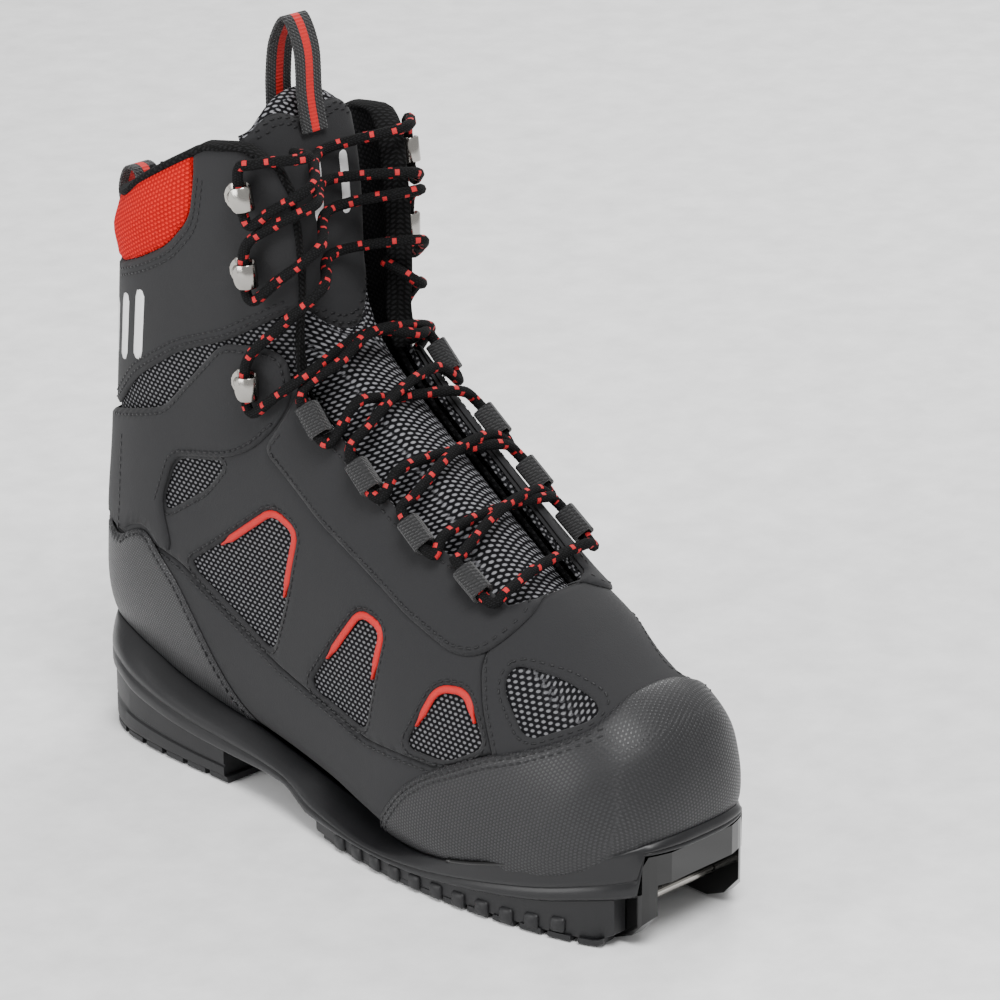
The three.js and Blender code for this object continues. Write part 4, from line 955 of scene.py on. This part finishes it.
def plan_outline(inset=0.0):
    """The sole seen from above: down the lateral side from heel to toe, and back up the medial side."""
    sides = []
    for column, sign in ((1, -1), (2, 1)):
        line = spline([(sign * row[column], row[0]) for row in SOLE_OUTLINE], 8)
        sides.append(resample(line, count=SOLE_ROWS))
    ring = np.concatenate([sides[0], sides[1][-2:0:-1]])
    inset = np.broadcast_to(inset, len(ring))[:, None]
    return ring + inset * inward_of(forward_of(ring))


def forward_of(ring):
    return unit(np.roll(ring, -1, axis=0) - np.roll(ring, 1, axis=0))


def inward_of(forward):
    return np.stack([-forward[:, 1], forward[:, 0]], axis=1)


def height_line(points):
    line = spline(points[::-1], 6)
    return lambda y: np.interp(y, line[:, 0], line[:, 1])


def across_ring(start, low_y, ring):
    """Quads that join the two sides of a ring, behind a given y."""
    faces = []
    count = len(ring)
    for i in range(SOLE_ROWS - 1):
        if ring[i + 1][1] < low_y:
            break
        faces.append([start + i, start + i + 1, start + (count - i - 1) % count, start + (count - i) % count])
    return [list(dict.fromkeys(face)) for face in faces]


def where_upper_meets(ring, top):
    """The points of the upper that lie nearest to a ring, at the ring's height."""
    place, turn = np.meshgrid(np.linspace(0.2, 17, 340), np.linspace(0, 1, 420), indexing="ij")
    cloud = surface(place, turn).reshape(-1, 3)
    level = height_line(FEATHER_EDGE)(cloud[:, 1])
    cloud = cloud[np.abs(cloud[:, 2] - level) < 1.2]
    nearest = [np.argmin(np.hypot(cloud[:, 0] - x, cloud[:, 1] - y)) for x, y in ring]
    touch = cloud[nearest]
    for _ in range(3):
        touch = (np.roll(touch, 1, axis=0) + 2 * touch + np.roll(touch, -1, axis=0)) / 4
    return np.column_stack([touch[:, :2], top])


def build_midsole():
    """The sole's side wall, with a groove along it and a lip that closes on the upper."""
    low, high = height_line(MIDSOLE_UNDERSIDE), height_line(FEATHER_EDGE)
    base = plan_outline()
    top = high(base[:, 1])
    over_insert = (np.abs(base[:, 0]) < 28) & (base[:, 1] < -120)
    bottom = np.where(over_insert, 36.4, low(base[:, 1]))
    wall = top - bottom
    touch = where_upper_meets(base, top - 1.6)
    lean = np.maximum(0, np.hypot(*(touch[:, :2] - base).T) - 2.6)
    rings = []
    for inset, share, height in BAND:
        outline = plan_outline(inset + share * lean)
        rings.append(np.column_stack([outline, bottom + wall * height]))
    rings.append(touch)
    count = len(base)
    faces = [*grid_faces(len(rings), count, closed=True).tolist(), *across_ring(0, -112, base)]
    piece("midsole_band", np.concatenate(rings), faces, RUBBER, replaces=["midsole"])
    lip = rings[-3]
    front = [i for i in range(count) if -132 < base[i, 1] < -70]
    for name, away in X_SIGN.items():
        path = lip[[i for i in front if base[i, 0] * away > 0]]
        points, tube = swept(path, np.tile([0, 0, 1.0], (len(path), 1)), 1.4, 0.9)
        piece(f"gloss_lip_{name}", points, tube, GLOSS)


def sole_sides(inset):
    """The lateral and medial edges of the sole, each as x at a given y."""
    outline = plan_outline(inset)
    lateral = outline[:SOLE_ROWS][::-1]
    medial = np.roll(outline, 1 - SOLE_ROWS, axis=0)[:SOLE_ROWS - 1]
    return [lambda y, side=side: np.interp(y, side[:, 1], side[:, 0]) for side in (lateral, medial)]


def tread_cell(rows, inner, outer, low, high, skew=0.0):
    """A block of tread between two lines that run along the sole. All four are functions of y."""
    near = [(inner(y), y) for y in rows]
    far = [(outer(y), y + skew) for y in rows[::-1]]
    plan = np.array([*near, *far])
    drawn_in = plan + 0.7 * unit(plan.mean(axis=0) - plan)
    bottom = low(plan[:, 1])
    rings = [np.column_stack([drawn_in, bottom]), np.column_stack([plan, bottom + 0.7]),
             np.column_stack([plan, high(plan[:, 1])])]
    count = len(plan)
    walls = grid_faces(3, count, closed=True).tolist()
    return np.concatenate(rings), [*walls, *cap_faces((0, 2 * count), count)]


def build_heel_block():
    """The heel's tread block, chamfered at the back and grooved round its side."""
    low = height_line(MIDSOLE_UNDERSIDE)
    rows = int(np.sum(plan_outline()[:SOLE_ROWS, 1] > 62))
    order = np.r_[1 - rows:0, 0:rows]
    rings = []
    for inset, share in HEEL_BLOCK:
        outline = plan_outline(inset)[order]
        z = 2.2 + (low(outline[:, 1]) - 2.35) * share
        back = np.interp(z, [0, 2, 14, 30], [142, 144.7, 155, 165])
        rings.append(np.column_stack([outline[:, 0], np.minimum(outline[:, 1], back), z]))
    count = len(order)
    caps = cap_faces((0, (len(rings) - 1) * count), count)
    parts = [(np.concatenate(rings), [*grid_faces(len(rings), count, closed=True).tolist(), *caps])]
    lateral, medial = sole_sides(1.8)
    for front in np.arange(62.4, 135, 12.8):
        rows = np.linspace(min(front + 10, 141.5), front, 5)
        parts.append(tread_cell(rows, lateral, medial, lambda y: 0 * y, lambda y: 0 * y + 2.6))
    points, faces = merged(parts)
    smooth_by_angle(piece("heel_block", points, faces, TREAD, replaces=["heel_tread"]))


def build_forefoot_tread():
    """Blocks parted by channels, in a middle band and two side bands, with a guide groove between bands."""
    lateral, medial = sole_sides(1.5)
    top = height_line(MIDSOLE_UNDERSIDE)

    def ground(y):
        return np.interp(y, [-148, -140, -134], [14, 3, 0])

    def beside(y):
        return 21.2 if y > -111.5 else 27.4

    bands = (
        (lambda y: -beside(y), lateral, -139, -2.5),
        (lambda y: -13.3, lambda y: 13.3, -111.5, 0.0),
        (beside, medial, -139, -2.5),
    )
    parts = []
    for inner, outer, end, skew in bands:
        parts.append(tread_cell(np.linspace(4.5, end, 40), inner, outer,
                                lambda y: ground(y) + 2.2, lambda y: top(y) - 0.1))
        for start in np.arange(2.5, end + 6, -11.6):
            rows = np.linspace(start, max(start - 8.8, end), 6)
            parts.append(tread_cell(rows, inner, outer, ground, lambda y: ground(y) + 2.6, skew))
    points, faces = merged(parts)
    smooth_by_angle(piece("forefoot_blocks", points, faces, TREAD,
                          replaces=["forefoot_tread"]))


def build_side_lugs():
    """Short blocks along the edge of the forefoot tread."""
    base = plan_outline()
    forward = forward_of(base)
    inward = inward_of(forward)
    parts = []
    for i in range(3, len(base), 4):
        y = base[i, 1]
        if not -128 < y < -8:
            continue
        rise = 2.6 * smoothstep(-y, 95, 130)
        corners = []
        for z, half, depth in SIDE_LUG:
            plan = ((-half, 3.5), (-half, depth + 0.5), (0.6 - half, depth),
                    (half - 0.6, depth), (half, depth + 0.5), (half, 3.5))
            for along, deep in plan:
                spot = base[i] + along * forward[i] + deep * inward[i]
                corners.append((spot[0], spot[1], z + rise))
        parts.append((np.array(corners), tube_faces(len(SIDE_LUG), len(plan))))
    points, faces = merged(parts)
    piece("side_lugs", points, faces, TREAD)


def soften(node, width, segments=3, angle=32):
    """Rounds a CAD node's edges."""
    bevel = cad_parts[node].modifiers.new("soft_edges", "BEVEL")
    bevel.width = width * MM
    bevel.segments = segments
    bevel.limit_method = "ANGLE"
    bevel.angle_limit = math.radians(angle)
    bevel.harden_normals = False


def dress(node, material):
    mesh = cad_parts[node].data
    mesh.materials.clear()
    mesh.materials.append(material)


# ------------------------------------------------------------------ lacing


def fitting_frame(place, turn):
    """Origin and axes of a fitting: across, up the boot, and out of the surface."""
    along = unit(surface(place + 0.05, turn) - surface(place - 0.05, turn))
    out = outward(place, turn)
    across = unit(np.cross(along, out))
    return raised(place, turn, FITTING_HEIGHT), np.stack([across, along, out])


def fitted(place, turn, local):
    origin, axes = fitting_frame(place, turn)
    return origin + np.asarray(local, float) @ axes


def mirrored(side, turn):
    return turn if side == "lateral" else 1 - turn


def dome(place, turn, centre, radius, height, rings=5, sides=18):
    """A rivet head that stands on a fitting's foot."""
    points = []
    for i in range(rings):
        a = math.pi / 2 * i / (rings - 1)
        r = radius * math.cos(a)
        z = centre[2] + height * math.sin(a)
        for k in range(sides):
            t = 2 * math.pi * k / sides
            points.append((centre[0] + r * math.cos(t), centre[1] + r * math.sin(t), z))
    return fitted(place, turn, points), grid_faces(rings, sides, closed=True).tolist()


def hook_plate(side, place, turn):
    """A rounded foot plate that bends round into the hook's arm."""
    away = X_SIGN[side]
    wall, inner = HOOK["wall"], HOOK["inner"]
    bend = inner + wall / 2
    # Each row across the strip: x, z, and how much of its full width it has.
    foot = [(away * d, wall / 2, min(1.0, (HOOK["foot"] - d) / 4.5))
            for d in (9, 8.8, 8.3, 7.4, 6, 4.5, 3, 1.5)]
    arc = [(-away * bend * math.cos(a), wall + inner + bend * math.sin(a), 1.0)
           for a in np.linspace(-math.pi / 2, math.pi / 2, 13)]
    arm = [(away * d, wall * 1.5 + 2 * inner, min(1.0, (3.5 - d) / 2))
           for d in (0.8, 1.6, 2.4, 3.0, 3.35, 3.5)]
    rows = []
    for index, (x, z, share) in enumerate([*foot, *arc, *arm]):
        half = 5.5 - 0.9 * smoothstep(float(index), 7, 14)
        half *= max(0.3, math.sqrt(max(0.0, 1 - (1 - share) ** 2)))
        rows.append((x, z, half))
    centre = np.array([(x, z) for x, z, _ in rows])
    direction = unit(np.gradient(centre, axis=0))
    normal = np.stack([-direction[:, 1], direction[:, 0]], axis=1)
    edge = ((-1, -0.25), (-0.93, -0.5), (0.93, -0.5), (1, -0.25))
    edge += tuple((-share, -lift) for share, lift in edge)
    points = []
    for (x, z, half), n in zip(rows, normal):
        for share, lift in edge:
            points.append((x + n[0] * lift * wall, share * half, z + n[1] * lift * wall))
    return fitted(place, turn, points), tube_faces(len(rows), len(edge))


def build_fittings():
    for side in SIDES:
        away = X_SIGN[side]
        for name, (place, turn) in HOOKS.items():
            turn = mirrored(side, turn)
            rivet = dome(place, turn, (away * 5.6, 0, HOOK["wall"] - 0.1), 2.5, 1.5)
            points, faces = merged([hook_plate(side, place, turn), rivet])
            smooth_by_angle(piece(f"{name}_speed_hook_{side}", points, faces, NICKEL,
                                  replaces=[f"hook_{name}_{side}"]))


def smooth_by_angle(thing, angle=40):
    thing.data.set_sharp_from_angle(angle=math.radians(angle))


def channel(place, turn, height, length):
    """Where the lace goes into a fitting and comes out of it."""
    reach = length / 2 + LACE_RADIUS + 2.1
    return [fitted(place, turn, (0, y, height)) for y in (-reach, reach)]


def lace_route():
    """The lace's points, from the end at the medial side, down to the toe and up to the other end."""
    def loop(side, i):
        place, turn = LOOPS[side][i]
        ends = channel(place, turn, LOOP["wall"] + LOOP["inner"][1] / 2, LOOP["length"])
        return {"side": side, "place": place, "ends": ends}

    def hook(side, name):
        place, turn = HOOKS[name]
        ends = channel(place, mirrored(side, turn), HOOK["wall"] + HOOK["inner"], HOOK["length"])
        return {"side": side, "place": place, "ends": ends}

    def turn_on(side, half):
        return 0.5 - half if side == "lateral" else 0.5 + half

    def mix(a, b, t):
        return a + (b - a) * t

    def at(place, turn, height):
        return raised(place, turn, height)

    def crossing(start, end, height):
        def on(t, side, half, rise):
            return at(mix(start["place"] + 0.3, end["place"] - 0.3, t), turn_on(side, half), rise)
        return [on(0.2, start["side"], 0.07, 4.7), on(0.5, start["side"], 0, height),
                on(0.8, end["side"], 0.07, 4.7)]

    def to_lock(start, end, height):
        def place(t):
            return mix(start["place"] + 0.3, end["place"] - 0.78, t)
        return [*crossing(start, end, height)[:2], at(place(0.75), turn_on(end["side"], 0.1), 5.6),
                at(place(0.97), turn_on(end["side"], 0.13), 5.8)]

    def wrap(start, end):
        def place(t):
            return mix(start["place"] + 0.66, end["place"] - 0.66, t)

        def edge(t, side):
            ridge = surface(place(t), 0.5)
            return np.array([X_SIGN[side] * 24, ridge[1] - 1.5, ridge[2]])
        middle = tongue_point(place(0.5), 0, TONGUE["skin"] + LACE_RADIUS + 0.6)
        return [at(place(0.12), turn_on(start["side"], 0.125), 4.8), edge(0.25, start["side"]), middle,
                edge(0.75, end["side"]), at(place(0.88), turn_on(end["side"], 0.125), 4.8)]

    def through(stops, between):
        points = list(stops[0]["ends"])
        for i in range(1, len(stops)):
            points += [*between(stops[i - 1], stops[i], i), *stops[i]["ends"]]
        return points

    upper, lower = 2.4, -2.3
    first = [loop("lateral", 0), loop("medial", 1), loop("lateral", 2), loop("medial", 3)]
    second = [loop("medial", 0), loop("lateral", 1), loop("medial", 2), loop("lateral", 3)]
    climb = [hook("lateral", "lock"), hook("medial", "low"), hook("lateral", "low"), hook("medial", "high"),
             hook("lateral", "high")]
    rising = [*through(first, lambda a, b, i: crossing(a, b, upper if i % 2 else lower)),
              *to_lock(first[3], climb[0], lower), *through(climb, lambda a, b, i: wrap(a, b))]
    lock = hook("medial", "lock")
    other = [*through(second, lambda a, b, i: crossing(a, b, lower if i % 2 else upper)),
             *to_lock(second[3], lock, upper), *lock["ends"]]
    bar = [at(11.1, 0.568, 6), surface(11, 0.5), at(10.85, 0.44, 6)]
    tucked_medial = [at(17.9, 0.63, 4.6), *TUCKED["medial"]]
    tucked_lateral = [at(21.5, 0.37, 4.8), *TUCKED["lateral"]]
    return np.array([*tucked_medial[::-1], *other[::-1], *bar, *rising, *tucked_lateral], float)


def build_lace():
    """A braided round cord with pairs of red flecks."""
    path = resample(spline(lace_route(), 12), 0.8)
    side_way, up = frames(path)
    sides = 16
    angle = np.linspace(0, 2 * np.pi, sides, endpoint=False)
    step = np.arange(len(path))[:, None]
    braid = 0.12 * np.sin(4 * angle[None] + 1.9 * step) * np.sin(4 * angle[None] - 1.9 * step)
    radius = LACE_RADIUS - 0.12 + braid
    ring = (path[:, None] + side_way[:, None] * (np.cos(angle)[None] * radius)[..., None]
            + up[:, None] * (np.sin(angle)[None] * radius)[..., None])
    faces = tube_faces(len(path), sides)
    row, column = np.divmod(np.arange(len(faces) - 2), sides)
    beat = row % 13
    near = ((column - row // 13 * 5) % 8) / 2
    red = ((beat < 2) & (near < 1.4)) | ((beat > 2) & (beat < 5) & (near > 1.9) & (near < 3.4))
    piece("laced_cord", ring.reshape(-1, 3), faces, [LACE_BLACK, LACE_RED],
          replaces=["lace"], face_materials=[*red.astype(int), 0, 0])


# ------------------------------------------------------------------ the boot

build_upper()
build_trims()
build_rims()
build_stitching()
build_tongue()
strap("tongue_webbing", TONGUE_LOOP, 6, 1.6, "tongue_loop", ["tongue_pull_loop"])
strap("heel_webbing", HEEL_LOOP, 5.5, 1.5, "heel_loop", ["heel_pull_loop"])
build_midsole()
build_heel_block()
build_forefoot_tread()
build_side_lugs()
build_marks()
build_fittings()
build_lace()

for node, material in (("toe_insert", GLOSS), ("toe_bar", NICKEL), ("shank", NICKEL), ("insole_board", BOARD),
                       ("footbed", LINING_CLOTH), ("toe_puff", BOARD), ("heel_stiffener", BOARD),
                       ("collar_foam", LINING_CLOTH)):
    dress(node, material)
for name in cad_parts:
    if name.startswith("lace_loop_"):
        dress(name, WEBBING)
        soften(name, 0.5)
soften("toe_insert", 0.8)

# ------------------------------------------------------------------ floor, light and camera

FLOOR = plain_finish("studio_floor", (0.93, 0.93, 0.93), 0.9, 30, 0.00001, specular=0.1)


def build_stage():
    mesh = bpy.data.meshes.new("studio_floor")
    mesh.from_pydata([(-6, -6, 0), (6, -6, 0), (6, 6, 0), (-6, 6, 0)], [], [(0, 1, 2, 3)])
    mesh.materials.append(FLOOR)
    floor = bpy.data.objects.new("studio_floor", mesh)
    floor.location.z = -0.0004
    bpy.context.scene.collection.objects.link(floor)


def area_light(name, position, target, size, power):
    data = bpy.data.lights.new(name, "AREA")
    data.size = size
    data.energy = power
    lamp = bpy.data.objects.new(name, data)
    lamp.location = position
    lamp.rotation_euler = (Vector(target) - Vector(position)).to_track_quat("-Z", "Y").to_euler()
    bpy.context.scene.collection.objects.link(lamp)


def build_light():
    world = bpy.data.worlds.new("studio")
    world.use_nodes = True
    world.node_tree.nodes["Background"].inputs["Color"].default_value = (1, 1, 1, 1)
    world.node_tree.nodes["Background"].inputs["Strength"].default_value = 0.7
    bpy.context.scene.world = world
    area_light("key", (-0.5, -0.9, 1.9), (0, 0, 0.1), 0.9, 44)
    area_light("rim", (1.3, 0.5, 1.3), (0, 0, 0.12), 0.9, 18)
    area_light("fill", (-1.6, 0.4, 0.7), (0, 0, 0.12), 0.8, 16)


def build_camera():
    azimuth, elevation = math.radians(-45.45), math.radians(21.36)
    level = math.cos(elevation)
    back = Vector((math.sin(azimuth) * level, -math.cos(azimuth) * level, math.sin(elevation)))
    right = Vector((math.cos(azimuth), math.sin(azimuth), 0))
    up = back.cross(right)
    target = Vector((0, 0, 0.11)) + right * 0.03527 + up * 0.01315
    data = bpy.data.cameras.new("camera")
    data.sensor_width = 36
    data.lens = 172.66
    camera = bpy.data.objects.new("camera", data)
    camera.location = target + back * 1.78131
    camera.rotation_euler = back.to_track_quat("Z", "Y").to_euler()
    bpy.context.scene.collection.objects.link(camera)
    bpy.context.scene.camera = camera


build_stage()
build_light()
build_camera()
